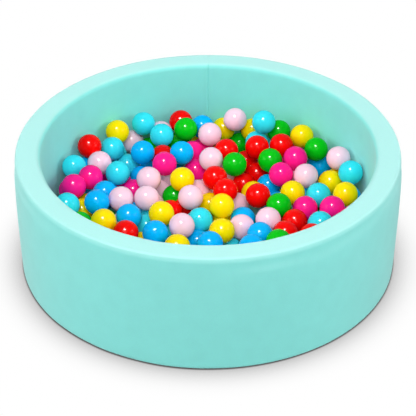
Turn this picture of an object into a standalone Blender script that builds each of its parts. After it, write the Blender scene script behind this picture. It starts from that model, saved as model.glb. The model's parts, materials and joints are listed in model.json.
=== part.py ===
"""Round foam ball pit: a foam ring and a base pad in a zipped fabric cover, filled with plastic balls.

The pit stands on the floor at z = 0 with its middle on the Z axis. Its cover seam is at the back, at +Y.
"""

import copy
import math

import bmesh
import bpy
import numpy as np

# Driving dimensions, in metres.
OUTER_DIAMETER = 0.900
HEIGHT = 0.300
WALL_FOAM = 0.055
BASE_FOAM = 0.050
CLOTH = 0.0025
CLEARANCE = 0.0003
BALL_DIAMETER = 0.060
HEAP_DEPTH = 0.1335

# Cover form.
RIM_ROUND = 0.012
FOOT_ROUND = 0.008
FOOT_DRAW_IN = 0.0045
SIDE_SWELL = 0.0015
RIM_CROWN = 0.001
SEAM_DEPTH = 0.0012
SEAM_HALF_WIDTH = 0.004
FOAM_JOINT = 0.002
ROUND_STEPS = 3
RING_STEPS = 48

# Underside zip.
ZIP_RADIUS = 0.400
ZIP_MOUTH = 0.014
ZIP_RISE = 0.0045
ZIP_SLOPE = 0.012
TAPE_THICK = 0.0008
TAPE_LAP = 0.006
ROW_WIDTH = 0.0022
ROW_THICK = 0.0024
ROW_SPACE = 0.0024
ZIP_SWEEP = math.radians(240.0)
ZIP_START = math.radians(-30.0)
ZIP_STEPS = 30
STOP_LENGTH = 0.003
SLIDER_LENGTH = 0.012
SLIDER_WIDTH = 0.0105
SLIDER_PLATE = 0.0012
BRIDGE_LENGTH = 0.0060
BRIDGE_WIDTH = 0.0016
BRIDGE_THICK = 0.0010
PULL_LENGTH = 0.024
PULL_WIDTH = 0.0060
PULL_THICK = 0.0010
PULL_FRAME = 0.0014
CHANNEL_ROOM = 0.0012

# Colours of the pieces.
MINT = (0.262, 0.806, 0.716)
FOAM_WHITE = (0.80, 0.79, 0.74)
UNDERSIDE_GREY = (0.30, 0.55, 0.52)
ZIP_WHITE = (0.70, 0.78, 0.76)
BALL_COLOURS = {
    "red": (0.85, 0.012, 0.016),
    "green": (0.012, 0.42, 0.022),
    "yellow": (0.96, 0.66, 0.010),
    "blue": (0.006, 0.26, 0.90),
    "cyan": (0.010, 0.66, 0.76),
    "pink": (0.90, 0.016, 0.19),
    "rose": (0.87, 0.56, 0.72),
}

# Where the photograph was taken from: its lens in pixels, the eye's distance and slope, and the point it aims at.
PHOTO_LENS_PX = 1459.7
PHOTO_MIDDLE_PX = 208.0
EYE_DISTANCE = 3.4986
EYE_SLOPE = math.radians(34.248)
AIM_HEIGHT = 0.1223

# Middles of the balls in the photograph, in pixels of its 416 x 416 frame.
WALL_BALLS_PX = (
    ("red", 180.9, 121.7), ("blue", 202.3, 126.3), ("yellow", 224.9, 129.5), ("yellow", 251.8, 133.2),
    ("green", 279.0, 131.9), ("rose", 132.2, 142.3), ("red", 89.5, 144.1),
)
WHOLE_BALLS_PX = (
    ("yellow", 177.2, 247.0), ("blue", 251.8, 247.0), ("blue", 210.0, 244.0), ("green", 278.6, 242.0),
    ("red", 311.9, 236.2), ("blue", 259.9, 234.7), ("blue", 155.3, 233.1), ("red", 285.3, 233.1),
    ("red", 125.7, 233.0), ("rose", 241.6, 227.0), ("rose", 181.8, 225.8), ("cyan", 320.5, 223.8),
    ("red", 294.8, 221.5), ("yellow", 103.6, 221.4), ("rose", 268.2, 219.7), ("blue", 128.8, 216.3),
    ("yellow", 161.4, 213.6), ("pink", 332.3, 208.3), ("pink", 305.1, 208.3), ("yellow", 221.8, 206.0),
    ("green", 278.9, 205.4), ("cyan", 67.2, 205.2), ("blue", 96.9, 202.1), ("rose", 121.1, 198.9),
    ("rose", 146.6, 198.0), ("rose", 190.6, 197.3), ("red", 258.0, 195.6), ("cyan", 318.3, 195.1),
    ("yellow", 345.4, 194.2), ("yellow", 292.6, 192.9), ("red", 225.3, 190.4), ("pink", 73.9, 186.3),
    ("yellow", 182.2, 179.4), ("rose", 148.8, 178.9), ("red", 215.0, 177.9), ("pink", 90.7, 177.2),
    ("rose", 305.8, 175.8), ("pink", 281.1, 174.3), ("cyan", 117.8, 173.0), ("cyan", 350.6, 172.6),
    ("green", 234.6, 164.3), ("pink", 164.5, 163.9), ("rose", 99.6, 163.1), ("green", 270.2, 160.3),
    ("rose", 212.4, 159.0), ("pink", 295.2, 158.4), ("rose", 338.4, 158.4), ("blue", 179.8, 154.2),
    ("blue", 144.2, 152.8), ("green", 316.0, 148.5), ("cyan", 111.4, 148.0), ("red", 257.6, 147.5),
    ("red", 281.3, 145.4), ("cyan", 161.1, 138.8), ("yellow", 301.4, 136.7), ("rose", 210.8, 135.7),
    ("yellow", 117.2, 133.2), ("green", 185.7, 129.7), ("cyan", 263.1, 124.1), ("cyan", 143.4, 123.9),
    ("rose", 235.4, 119.3),
)
HALF_SEEN_BALLS_PX = (
    ("yellow", 220.9, 230.7), ("blue", 197.3, 241.7), ("cyan", 200.2, 220.5), ("cyan", 146.7, 225.0),
    ("blue", 242.8, 220.1), ("red", 171.8, 211.8), ("yellow", 209.7, 204.4), ("rose", 235.5, 203.3),
    ("yellow", 82.7, 209.7), ("green", 175.2, 195.8), ("yellow", 252.4, 193.1), ("rose", 159.4, 190.7),
    ("blue", 105.8, 193.2), ("rose", 200.0, 191.0), ("pink", 132.4, 191.1), ("blue", 268.4, 186.7),
    ("red", 244.4, 183.7), ("pink", 64.8, 184.5), ("yellow", 330.1, 182.3), ("blue", 143.0, 177.8),
    ("red", 256.8, 172.9), ("pink", 195.9, 170.3), ("cyan", 74.8, 168.1), ("blue", 318.1, 166.8),
    ("cyan", 126.7, 165.4), ("red", 246.0, 159.3), ("rose", 130.9, 152.7), ("pink", 193.2, 152.8),
    ("red", 225.6, 152.0), ("green", 238.1, 141.5), ("green", 81.3, 224.7), ("cyan", 229.1, 249.7),
    ("blue", 360.7, 193.8), ("cyan", 103.8, 149.7), ("green", 148.1, 145.9), ("rose", 160.8, 134.4),
    ("yellow", 196.5, 139.5), ("green", 175.5, 144.0), ("cyan", 267.0, 140.0), ("green", 220.0, 141.0),
    ("blue", 84.0, 168.0), ("pink", 85.3, 146.2),
)

# How the heap is made up.
MOST_LOOSE = 46
MOST_BALLS = 172
BITE = 0.0006
LIFT = 0.200
SETTLE_SHARE = 0.2
WALL_NUDGE_SHARE = 0.05
SEAT_SLACK = 0.0007
FILL_GRID_SHARE = 0.3
COVER_GRID_SHARE = 0.12
GOLDEN_SHARE = 0.618
MOST_SHOWN_SHARE = 0.2
LIFT_STEPS_SHARE = 12
VIEW_SAMPLES = 12
ALONE_STEPS = 8
LEG_SECTORS = 10
LEG_STEPS = 24
LEAST_COVER = 8
MEETING_TURNS = 30
MOST_JOINING = 120
MOST_TRIALS = 30
PRESSING_SHARE = 0.1
JOINING_SHARE = 1.95
ROUNDING_SHARE = 0.98
SAMPLE_SHARES = (0.4, 0.85)


# Sizes worked out from the driving ones.
OUTER_RADIUS = OUTER_DIAMETER / 2
FOAM_OUTER_RADIUS = OUTER_RADIUS - FOOT_DRAW_IN - CLOTH - CLEARANCE
FOAM_INNER_RADIUS = OUTER_RADIUS - CLOTH - CLEARANCE - WALL_FOAM
INNER_RADIUS = FOAM_INNER_RADIUS - CLEARANCE - CLOTH
FLOOR_UNDERSIDE = CLOTH + CLEARANCE + BASE_FOAM + CLEARANCE
FLOOR_TOP = FLOOR_UNDERSIDE + CLOTH
FOAM_TOP = HEIGHT - RIM_CROWN - CLOTH - CLEARANCE
BALL_RADIUS = BALL_DIAMETER / 2
LEVEL = FLOOR_TOP + HEAP_DEPTH - BALL_RADIUS
LOWEST = FLOOR_TOP + CLEARANCE + BALL_RADIUS
WALL_LIMIT = INNER_RADIUS * math.cos(math.pi / RING_STEPS) - CLEARANCE - BALL_RADIUS


def clear_scene():
    for obj in list(bpy.data.objects):
        bpy.data.objects.remove(obj, do_unlink=True)


def material(name, colour, roughness, metallic=0.0):
    made = bpy.data.materials.get(name) or bpy.data.materials.new(name)
    made.use_nodes = True
    made.diffuse_color = (*colour, 1.0)
    shader = made.node_tree.nodes["Principled BSDF"]
    shader.inputs["Base Color"].default_value = (*colour, 1.0)
    shader.inputs["Roughness"].default_value = roughness
    shader.inputs["Metallic"].default_value = metallic
    return made


def add_object(name, mesh, surface, smooth=True):
    obj = bpy.data.objects.new(name, mesh)
    bpy.context.scene.collection.objects.link(obj)
    mesh.materials.append(surface)
    if smooth:
        mesh.shade_smooth()
        mesh.set_sharp_from_angle(angle=math.radians(40.0))
    return obj


def mesh_of(name, points, faces):
    """A mesh with its faces turned outwards."""
    mesh = bpy.data.meshes.new(name)
    mesh.from_pydata([tuple(point) for point in points], [], faces)
    work = bmesh.new()
    work.from_mesh(mesh)
    bmesh.ops.recalc_face_normals(work, faces=work.faces)
    work.to_mesh(mesh)
    work.free()
    return mesh


def turned(name, profiles, angles, whole):
    """The closed outline of each angle joined to the next, round the Z axis; a part turn gets flat ends."""
    size = len(profiles[0])
    points = [
        (radius * math.cos(angle), radius * math.sin(angle), z)
        for profile, angle in zip(profiles, angles)
        for radius, z in profile
    ]
    steps = len(angles) if whole else len(angles) - 1
    faces = []
    for step in range(steps):
        here = step * size
        there = (step + 1) % len(angles) * size
        for edge in range(size):
            after = (edge + 1) % size
            faces.append((here + edge, here + after, there + after, there + edge))
    if not whole:
        faces.append(tuple(range(size)))
        faces.append(tuple(steps * size + edge for edge in range(size)))
    return mesh_of(name, points, faces)


def disc(name, outline_at, steps=RING_STEPS):
    """A turned solid that reaches the Z axis: its outline runs from its lowest point on the axis to its highest."""
    outlines = [outline_at(2 * math.pi * step / steps) for step in range(steps)]
    rims = list(zip(*outlines))[1:-1]
    points = [(0.0, 0.0, outlines[0][0][1]), (0.0, 0.0, outlines[0][-1][1])]
    for rim in rims:
        for step, (radius, z) in enumerate(rim):
            angle = 2 * math.pi * step / steps
            points.append((radius * math.cos(angle), radius * math.sin(angle), z))
    faces = []
    for step in range(steps):
        after = (step + 1) % steps
        faces.append((0, 2 + step, 2 + after))
        last = 2 + (len(rims) - 1) * steps
        faces.append((1, last + step, last + after))
        for rim in range(len(rims) - 1):
            low = 2 + rim * steps
            faces.append((low + step, low + after, low + steps + after, low + steps + step))
    return mesh_of(name, points, faces)


def arc(middle, radius, start, end, steps=ROUND_STEPS):
    """Points of a round corner in the profile plane, its angles in degrees."""
    found = []
    for step in range(steps + 1):
        angle = math.radians(start + (end - start) * step / steps)
        found.append((middle[0] + radius * math.cos(angle), middle[1] + radius * math.sin(angle)))
    return found


def cover_face():
    """The cover's outer face, from the hem at the zip's mouth, round the foot and the rim, down to the pit's floor.

    It comes in runs, each of one point or of one rounded corner.
    """
    hem = ZIP_RADIUS + ZIP_MOUTH / 2
    foot = OUTER_RADIUS - FOOT_DRAW_IN
    rim_middle = HEIGHT - RIM_CROWN - RIM_ROUND
    return [
        [(hem, ZIP_RISE)],
        [(hem + ZIP_SLOPE, 0.0)],
        arc((foot - FOOT_ROUND, FOOT_ROUND), FOOT_ROUND, -90, 0),
        [(OUTER_RADIUS - FOOT_DRAW_IN / 4 + SIDE_SWELL / 2, HEIGHT / 2)],
        arc((OUTER_RADIUS - RIM_ROUND, rim_middle), RIM_ROUND, 0, 90),
        [((OUTER_RADIUS + INNER_RADIUS) / 2, HEIGHT)],
        arc((INNER_RADIUS + RIM_ROUND, rim_middle), RIM_ROUND, 90, 180),
        [(INNER_RADIUS, FLOOR_UNDERSIDE)],
    ]


def inset_path(points, depth):
    """The open path moved by depth to its left, which is the foam's side of the cover."""
    moved = []
    for index, (x, z) in enumerate(points):
        before = points[max(index - 1, 0)]
        after = points[min(index + 1, len(points) - 1)]
        first = np.array([x - before[0], z - before[1]]) if index else np.array([after[0] - x, after[1] - z])
        second = np.array([after[0] - x, after[1] - z]) if index < len(points) - 1 else first
        first = first / math.hypot(*first)
        second = second / math.hypot(*second)
        left_first = np.array([-first[1], first[0]])
        left_second = np.array([-second[1], second[0]])
        middle = left_first + left_second
        middle = middle / math.hypot(*middle)
        reach = depth / max(float(middle @ left_first), 0.5)
        moved.append((x + middle[0] * reach, z + middle[1] * reach))
    return moved


def wall_cover():
    runs = cover_face()
    face = [point for run in runs for point in run]
    inset = iter(inset_path(face, CLOTH))
    back = []
    for run in runs:
        inner = [next(inset) for _ in run]
        back += [inner[0], inner[-1]] if len(run) > 1 else inner
    plain = face + back[::-1]
    creased = list(plain)
    for index in (len(face) - 1, len(face) - 2):
        radius, z = creased[index]
        creased[index] = (radius + SEAM_DEPTH, z)
    seam = math.pi / 2
    half = SEAM_HALF_WIDTH / INNER_RADIUS
    angles = [seam + 2 * math.pi * step / RING_STEPS for step in range(RING_STEPS)]
    angles = [seam, seam + half] + angles[1:] + [seam + 2 * math.pi - half]
    profiles = [creased] + [plain] * (len(angles) - 1)
    mesh = turned("wall_cover", profiles, angles, True)
    return add_object("wall_cover", mesh, material("mint_cloth", MINT, 0.9))


def zip_channel_edges():
    """Inner and outer radius and height of the room that the foam leaves above the zip."""
    half = ZIP_MOUTH / 2 + TAPE_LAP + ZIP_SLOPE / 2
    slider_top = ZIP_RISE + CLOTH + CLEARANCE + TAPE_THICK / 2 + ROW_THICK / 2 + CLEARANCE + SLIDER_PLATE
    return ZIP_RADIUS - half, ZIP_RADIUS + half, slider_top + CHANNEL_ROOM


def wall_foam():
    """One strip bent into a ring, with its butt joint at the back."""
    bed = CLOTH + CLEARANCE
    channel_outer, channel_top = zip_channel_edges()[1:]
    swell = FOOT_DRAW_IN / 2
    corner = FOOT_ROUND
    rim = RIM_ROUND
    outer = FOAM_OUTER_RADIUS
    profile = [
        (FOAM_INNER_RADIUS, channel_top),
        (channel_outer - ZIP_SLOPE / 2, channel_top),
        (channel_outer + CLOTH, bed),
        (outer - corner, bed),
        (outer, bed + corner),
        (outer + swell, FOAM_TOP - rim),
        (outer + swell - rim, FOAM_TOP),
        (FOAM_INNER_RADIUS + rim, FOAM_TOP),
        (FOAM_INNER_RADIUS, FOAM_TOP - rim),
    ]
    half = FOAM_JOINT / 2 / FOAM_INNER_RADIUS
    start = math.pi / 2 + half
    sweep = 2 * math.pi - 2 * half
    angles = [start + sweep * step / RING_STEPS for step in range(RING_STEPS + 1)]
    mesh = turned("wall_foam", [profile] * len(angles), angles, False)
    return add_object("wall_foam", mesh, material("ring_foam", FOAM_WHITE, 0.95))


def base_foam():
    bed = CLOTH + CLEARANCE
    channel_inner, _, channel_top = zip_channel_edges()
    edge = FOAM_INNER_RADIUS * math.cos(math.pi / RING_STEPS) - CLEARANCE
    top = FLOOR_UNDERSIDE - CLEARANCE
    outline = [
        (0.0, bed),
        (channel_inner - CLOTH, bed),
        (channel_inner + ZIP_SLOPE / 2, channel_top),
        (edge, channel_top),
        (edge, top),
        (0.0, top),
    ]
    return add_object("base_foam", disc("base_foam", lambda _: outline), material("pad_foam", FOAM_WHITE, 0.95))


def floor_cover():
    """The cloth floor of the pit, sewn round its edge to the wall cover."""
    edge = INNER_RADIUS * math.cos(math.pi / RING_STEPS) - CLEARANCE
    outline = [(0.0, FLOOR_UNDERSIDE), (edge, FLOOR_UNDERSIDE), (edge, FLOOR_TOP), (0.0, FLOOR_TOP)]
    return add_object("floor_cover", disc("floor_cover", lambda _: outline), material("floor_cloth", MINT, 0.9))


def zip_tail():
    """The angle by which the tapes run on past the teeth, in whole steps, so that the slider's pull can lie there."""
    step = ZIP_SWEEP / ZIP_STEPS
    least = (PULL_LENGTH + SLIDER_LENGTH) / ZIP_RADIUS + 2 * math.pi / RING_STEPS
    return math.ceil(least / step) * step


def bottom_panel():
    """The cloth underside: its edge rises to the zip, and where there is no zip it is sewn to the wall's hem."""
    inner = ZIP_RADIUS - ZIP_MOUTH / 2

    def outline_at(angle):
        past_start = (angle - ZIP_START + zip_tail()) % (2 * math.pi)
        zipped = past_start <= ZIP_SWEEP + 2 * zip_tail()
        edge = inner if zipped else ZIP_RADIUS + ZIP_MOUTH / 2 - CLEARANCE
        return [
            (0.0, 0.0),
            (inner - ZIP_SLOPE, 0.0),
            (edge, ZIP_RISE),
            (edge, ZIP_RISE + CLOTH),
            (inner - ZIP_SLOPE - CLOTH / 2, CLOTH),
            (0.0, CLOTH),
        ]

    surface = material("under_cloth", UNDERSIDE_GREY, 0.85)
    return add_object("bottom_panel", disc("bottom_panel", outline_at), surface)


def zip_ring(name, inner, outer, low, high, surface, start=ZIP_START, sweep=ZIP_SWEEP):
    """A flat strip that follows the zip round the underside; outside the zip's own circle its flats stay outside."""
    steps = max(2, round(ZIP_STEPS * sweep / ZIP_SWEEP))
    if inner > ZIP_RADIUS:
        inner = inner / math.cos(sweep / steps / 2)
        outer = outer / math.cos(sweep / steps / 2)
    profile = [(inner, low), (outer, low), (outer, high), (inner, high)]
    angles = [start + sweep * step / steps for step in range(steps + 1)]
    mesh = turned(name, [profile] * len(angles), angles, False)
    return add_object(name, mesh, surface)


def tape_low():
    return ZIP_RISE + CLOTH + CLEARANCE


def row_low():
    return tape_low() + TAPE_THICK / 2 - ROW_THICK / 2


def zip_tapes_and_rows():
    """Two woven tapes on the edges of the cloth, each with its row of teeth along the mouth."""
    cloth = material("zip_tape", ZIP_WHITE, 0.7)
    teeth = material("zip_teeth", ZIP_WHITE, 0.35)
    row_inner = ROW_SPACE / 2
    row_outer = row_inner + ROW_WIDTH
    tape_inner = row_outer + CLEARANCE
    tape_outer = ZIP_MOUTH / 2 + TAPE_LAP
    for side, name in ((1, "outer"), (-1, "inner")):
        tape = sorted((ZIP_RADIUS + side * tape_inner, ZIP_RADIUS + side * tape_outer))
        tail = zip_tail()
        ends = (ZIP_START - tail, ZIP_SWEEP + 2 * tail)
        zip_ring(f"zip_tape_{name}", *tape, tape_low(), tape_low() + TAPE_THICK, cloth, *ends)
        row = sorted((ZIP_RADIUS + side * row_inner, ZIP_RADIUS + side * row_outer))
        zip_ring(f"zip_teeth_{name}", *row, row_low(), row_low() + ROW_THICK, teeth)


def zip_stops():
    """A block across both rows at each end of the zip."""
    surface = material("zip_stop", ZIP_WHITE, 0.35)
    half = ROW_SPACE / 2 + ROW_WIDTH
    turn = STOP_LENGTH / ZIP_RADIUS
    slack = CLEARANCE / ZIP_RADIUS
    starts = {"zip_stop_start": ZIP_START - slack - turn, "zip_stop_end": ZIP_START + ZIP_SWEEP + slack}
    for name, start in starts.items():
        zip_ring(name, ZIP_RADIUS - half, ZIP_RADIUS + half, row_low(), row_low() + ROW_THICK, surface, start, turn)


def box_points(low, high):
    corners = [(x, y, z) for x in (low[0], high[0]) for y in (low[1], high[1]) for z in (low[2], high[2])]
    faces = [(0, 1, 3, 2), (4, 6, 7, 5), (0, 4, 5, 1), (2, 3, 7, 6), (0, 2, 6, 4), (1, 5, 7, 3)]
    return corners, faces


def box(name, low, high, surface):
    return add_object(name, mesh_of(name, *box_points(low, high)), surface, smooth=False)


def joined(base, tool, operation="UNION"):
    """The base with the tool added or cut away; the tool stays as a hidden guide."""
    tool.hide_render = True
    tool.display_type = "WIRE"
    change = base.modifiers.new(tool.name, "BOOLEAN")
    change.operation = operation
    change.solver = "EXACT"
    change.object = tool
    return base


def slider_angle():
    return ZIP_START + (SLIDER_LENGTH / 2 + CLEARANCE) / ZIP_RADIUS


def place_on_zip(obj):
    obj.location = (ZIP_RADIUS * math.cos(slider_angle()), ZIP_RADIUS * math.sin(slider_angle()), 0.0)
    obj.rotation_euler = (0.0, 0.0, slider_angle())


def plate_underside():
    return row_low() - CLEARANCE - SLIDER_PLATE


def bridge_window():
    """Height of the opening under the slider's bridge, in which the pull's square bar turns."""
    return PULL_THICK * math.sqrt(2.0) + 2 * CLEARANCE


def pull_pin_y():
    return bridge_window() / 2 + BRIDGE_THICK - BRIDGE_LENGTH / 2


def pull_pin_z():
    return plate_underside() - bridge_window() / 2


def zip_slider():
    """Two plates on a post that runs between the rows, and a bridge below that holds the pull's bar.

    The slider lies along its own Y axis, and X points away from the pit's middle.
    """
    metal = material("zip_slider", (0.62, 0.66, 0.66), 0.35, 0.9)
    half_w = SLIDER_WIDTH / 2
    half_l = SLIDER_LENGTH / 2
    low = plate_underside()
    top = low + SLIDER_PLATE
    upper_low = row_low() + ROW_THICK + CLEARANCE
    overlap = SLIDER_PLATE / 2
    post_half = ROW_SPACE / 2 - CLEARANCE
    bridge_half = BRIDGE_WIDTH / 2
    bridge_end = BRIDGE_LENGTH / 2
    bridge_top = low - bridge_window()
    bridge_low = bridge_top - BRIDGE_THICK
    body = box("zip_slider", (-half_w, -half_l, low), (half_w, half_l, top), metal)
    guides = {
        "slider_post_guide": ((-post_half, -half_l / 2, top - overlap), (post_half, half_l / 2, upper_low + overlap)),
        "slider_upper_guide": ((-half_w, -half_l, upper_low), (half_w, half_l, upper_low + SLIDER_PLATE)),
        "slider_rear_leg_guide": (
            (-bridge_half, -bridge_end, bridge_low),
            (bridge_half, -bridge_end + BRIDGE_THICK, low + overlap),
        ),
        "slider_front_leg_guide": (
            (-bridge_half, bridge_end - BRIDGE_THICK, bridge_low),
            (bridge_half, bridge_end, low + overlap),
        ),
        "slider_bridge_guide": (
            (-bridge_half, -bridge_end, bridge_low),
            (bridge_half, bridge_end, bridge_top),
        ),
    }
    for name, (near, far) in guides.items():
        joined(body, box(name, near, far, metal))
    for obj in bpy.data.objects:
        if obj.name == "zip_slider" or obj.name.startswith("slider_"):
            place_on_zip(obj)
    return body


def zip_pull():
    """A flat tab with an eye round the bridge; the bar at its end turns in the bridge's opening."""
    metal = material("zip_pull", (0.62, 0.66, 0.66), 0.35, 0.9)
    half = PULL_WIDTH / 2
    thick = PULL_THICK / 2
    tab = box("zip_pull", (-half, -thick, -thick), (half, PULL_LENGTH - thick, thick), metal)
    eye_half = half - PULL_FRAME
    bridge_reach = math.hypot(BRIDGE_LENGTH / 2 - pull_pin_y(), bridge_window() / 2 + BRIDGE_THICK)
    eye_far = bridge_reach + PULL_THICK
    cut = box("pull_eye_guide", (-eye_half, thick, -PULL_THICK), (eye_half, eye_far, PULL_THICK), metal)
    joined(tab, cut, "DIFFERENCE")
    angle = slider_angle()
    place = (
        ZIP_RADIUS * math.cos(angle) - pull_pin_y() * math.sin(angle),
        ZIP_RADIUS * math.sin(angle) + pull_pin_y() * math.cos(angle),
        pull_pin_z(),
    )
    for obj in (tab, cut):
        obj.location = place
        obj.rotation_euler = (0.0, 0.0, angle)
    return tab


def unit_ball():
    """Points, faces and outward facet directions of a ball of 60 equal facets, its points one unit from its middle."""
    work = bmesh.new()
    bmesh.ops.create_icosphere(work, subdivisions=1, radius=1.0)
    for face in list(work.faces):
        work.verts.new(face.calc_center_median().normalized())
    bmesh.ops.delete(work, geom=list(work.faces) + list(work.edges), context="EDGES_FACES")
    bmesh.ops.convex_hull(work, input=list(work.verts))
    bmesh.ops.recalc_face_normals(work, faces=work.faces)
    work.verts.index_update()
    points = np.array([vert.co[:] for vert in work.verts])
    faces = [tuple(vert.index for vert in face.verts) for face in work.faces]
    normals = np.array([face.normal[:] for face in work.faces])
    work.free()
    return points, faces, normals


BALL_POINTS, BALL_FACES, BALL_NORMALS = unit_ball()
FACET_SHARE = float((BALL_NORMALS @ BALL_POINTS.T).max(axis=1).mean())
TOUCH = 2 * FACET_SHARE * BALL_RADIUS


def facet_reach(arms):
    """How far apart the facets of two balls are that lie these arms apart, when both have no size."""
    return (np.atleast_2d(arms) @ BALL_NORMALS.T).max(axis=1)


def lengths(arms):
    arms = np.atleast_2d(arms)
    return np.sqrt(arms[:, 0] ** 2 + arms[:, 1] ** 2 + arms[:, 2] ** 2)


EYE = np.array([0.0, -EYE_DISTANCE * math.cos(EYE_SLOPE), EYE_DISTANCE * math.sin(EYE_SLOPE) + AIM_HEIGHT])


def sight_line(x_px, y_px):
    """The direction from the eye through a pixel of the photograph."""
    forward = np.array([0.0, math.cos(EYE_SLOPE), -math.sin(EYE_SLOPE)])
    up = np.array([0.0, math.sin(EYE_SLOPE), math.cos(EYE_SLOPE)])
    right = np.array([1.0, 0.0, 0.0])
    x = (x_px - PHOTO_MIDDLE_PX) / PHOTO_LENS_PX
    y = (PHOTO_MIDDLE_PX - y_px) / PHOTO_LENS_PX
    ray = forward + x * right + y * up
    return ray / math.sqrt(ray @ ray)


def wall_crossings(ray, radius):
    """Distances along a sight line where it enters and leaves the upright cylinder of this radius."""
    a = ray[0] ** 2 + ray[1] ** 2
    b = ray[0] * EYE[0] + ray[1] * EYE[1]
    c = EYE[0] ** 2 + EYE[1] ** 2 - radius**2
    root = math.sqrt(max(b * b - a * c, 0.0))
    return (-b - root) / a, (-b + root) / a


def slid(ray, along, others, apart, way):
    """Distance from the eye, moved on (way 1) or back (way -1) along the ray until no other middle is within apart."""
    for _ in range(len(others) + 1):
        moved = False
        for other in others:
            arm = other - EYE
            beside = float(arm @ ray)
            square = apart**2 - (float(arm @ arm) - beside**2)
            if square > 0 and abs(along - beside) < math.sqrt(square) - CLEARANCE / 10:
                along = beside + way * math.sqrt(square)
                moved = True
        if not moved:
            return along
    return None


def seen_balls():
    """Colour and middle of each ball in the photograph, on its sight line, at the heap's level or as contact allows."""
    found = []
    apart = BALL_DIAMETER + CLEARANCE
    for group, kind in ((WALL_BALLS_PX, "wall"), (WHOLE_BALLS_PX, "whole"), (HALF_SEEN_BALLS_PX, "half")):
        for colour, x_px, y_px in group:
            ray = sight_line(x_px, y_px)
            nearest, farthest = wall_crossings(ray, WALL_LIMIT)
            farthest = min(farthest, (LOWEST - EYE[2]) / ray[2])
            level = max(nearest, min(farthest, (LEVEL - EYE[2]) / ray[2]))
            if kind == "wall":
                level = farthest
            others = [ball["middle"] for ball in found]
            behind = slid(ray, level, others, apart, 1)
            before = slid(ray, level, others, apart, -1)
            highest = (LEVEL + BALL_RADIUS - EYE[2]) / ray[2]
            choices = [behind] if behind is not None and behind <= farthest else []
            if kind != "half" and before is not None and before >= max(nearest, highest):
                choices.append(before)
            if choices:
                along = min(choices, key=lambda choice: abs(choice - level))
                middle = EYE + along * ray
                if math.hypot(middle[0], middle[1]) <= WALL_LIMIT + CLEARANCE / 10:
                    found.append({"colour": colour, "middle": middle, "kind": kind})
    return found


def lift_is_clear(middle, others):
    """Whether a ball can be lifted straight up past all the others."""
    steps = np.arange(0.0, LIFT, BALL_RADIUS / LIFT_STEPS_SHARE)
    path = middle + np.outer(steps, [0.0, 0.0, 1.0])
    near = [other for other in others if math.hypot(*(other - middle)[:2]) < BALL_DIAMETER]
    return all(facet_reach(path - other).min() >= TOUCH + CLEARANCE / 2 for other in near)


def mark_loose(balls):
    """The balls that lie free on top, up to the number that get a solid of their own."""
    middles = [ball["middle"] for ball in balls]
    count = 0
    for index, ball in enumerate(balls):
        others = middles[:index] + middles[index + 1 :]
        free = ball["kind"] != "half" and lift_is_clear(ball["middle"], others)
        ball["loose"] = free and count < MOST_LOOSE
        count += ball["loose"]


def settle_loose(balls):
    """Slides each loose ball on along its sight line until it touches another, where one is near."""
    for ball in balls:
        if not ball["loose"]:
            continue
        others = np.array([other["middle"] for other in balls if other is not ball])
        ray = (ball["middle"] - EYE) / lengths(ball["middle"] - EYE)[0]
        step = CLEARANCE / 2
        for _ in range(round(BALL_DIAMETER * SETTLE_SHARE / step)):
            onward = ball["middle"] + ray * step
            inside = math.hypot(onward[0], onward[1]) <= WALL_LIMIT and onward[2] >= LOWEST
            if not inside or facet_reach(onward - others).min() < TOUCH + CLEARANCE:
                break
            ball["middle"] = onward
        off_axis = math.hypot(*ball["middle"][:2])
        if 0.0 < WALL_LIMIT - off_axis < BALL_DIAMETER * WALL_NUDGE_SHARE:
            beside = ball["middle"] * np.array([WALL_LIMIT / off_axis, WALL_LIMIT / off_axis, 1.0])
            if facet_reach(beside - others).min() >= TOUCH + CLEARANCE and lift_is_clear(beside, others):
                ball["middle"] = beside


def meeting_points(starts, anchors, reaches):
    """Points whose facet reach to each of their anchors is as given, found by moving each in and out by turns."""
    points = starts
    for _ in range(MEETING_TURNS):
        for anchor, reach in zip(anchors, reaches):
            arms = points - anchor
            points = anchor + arms * (reach / facet_reach(arms))[:, None]
    return points


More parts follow.
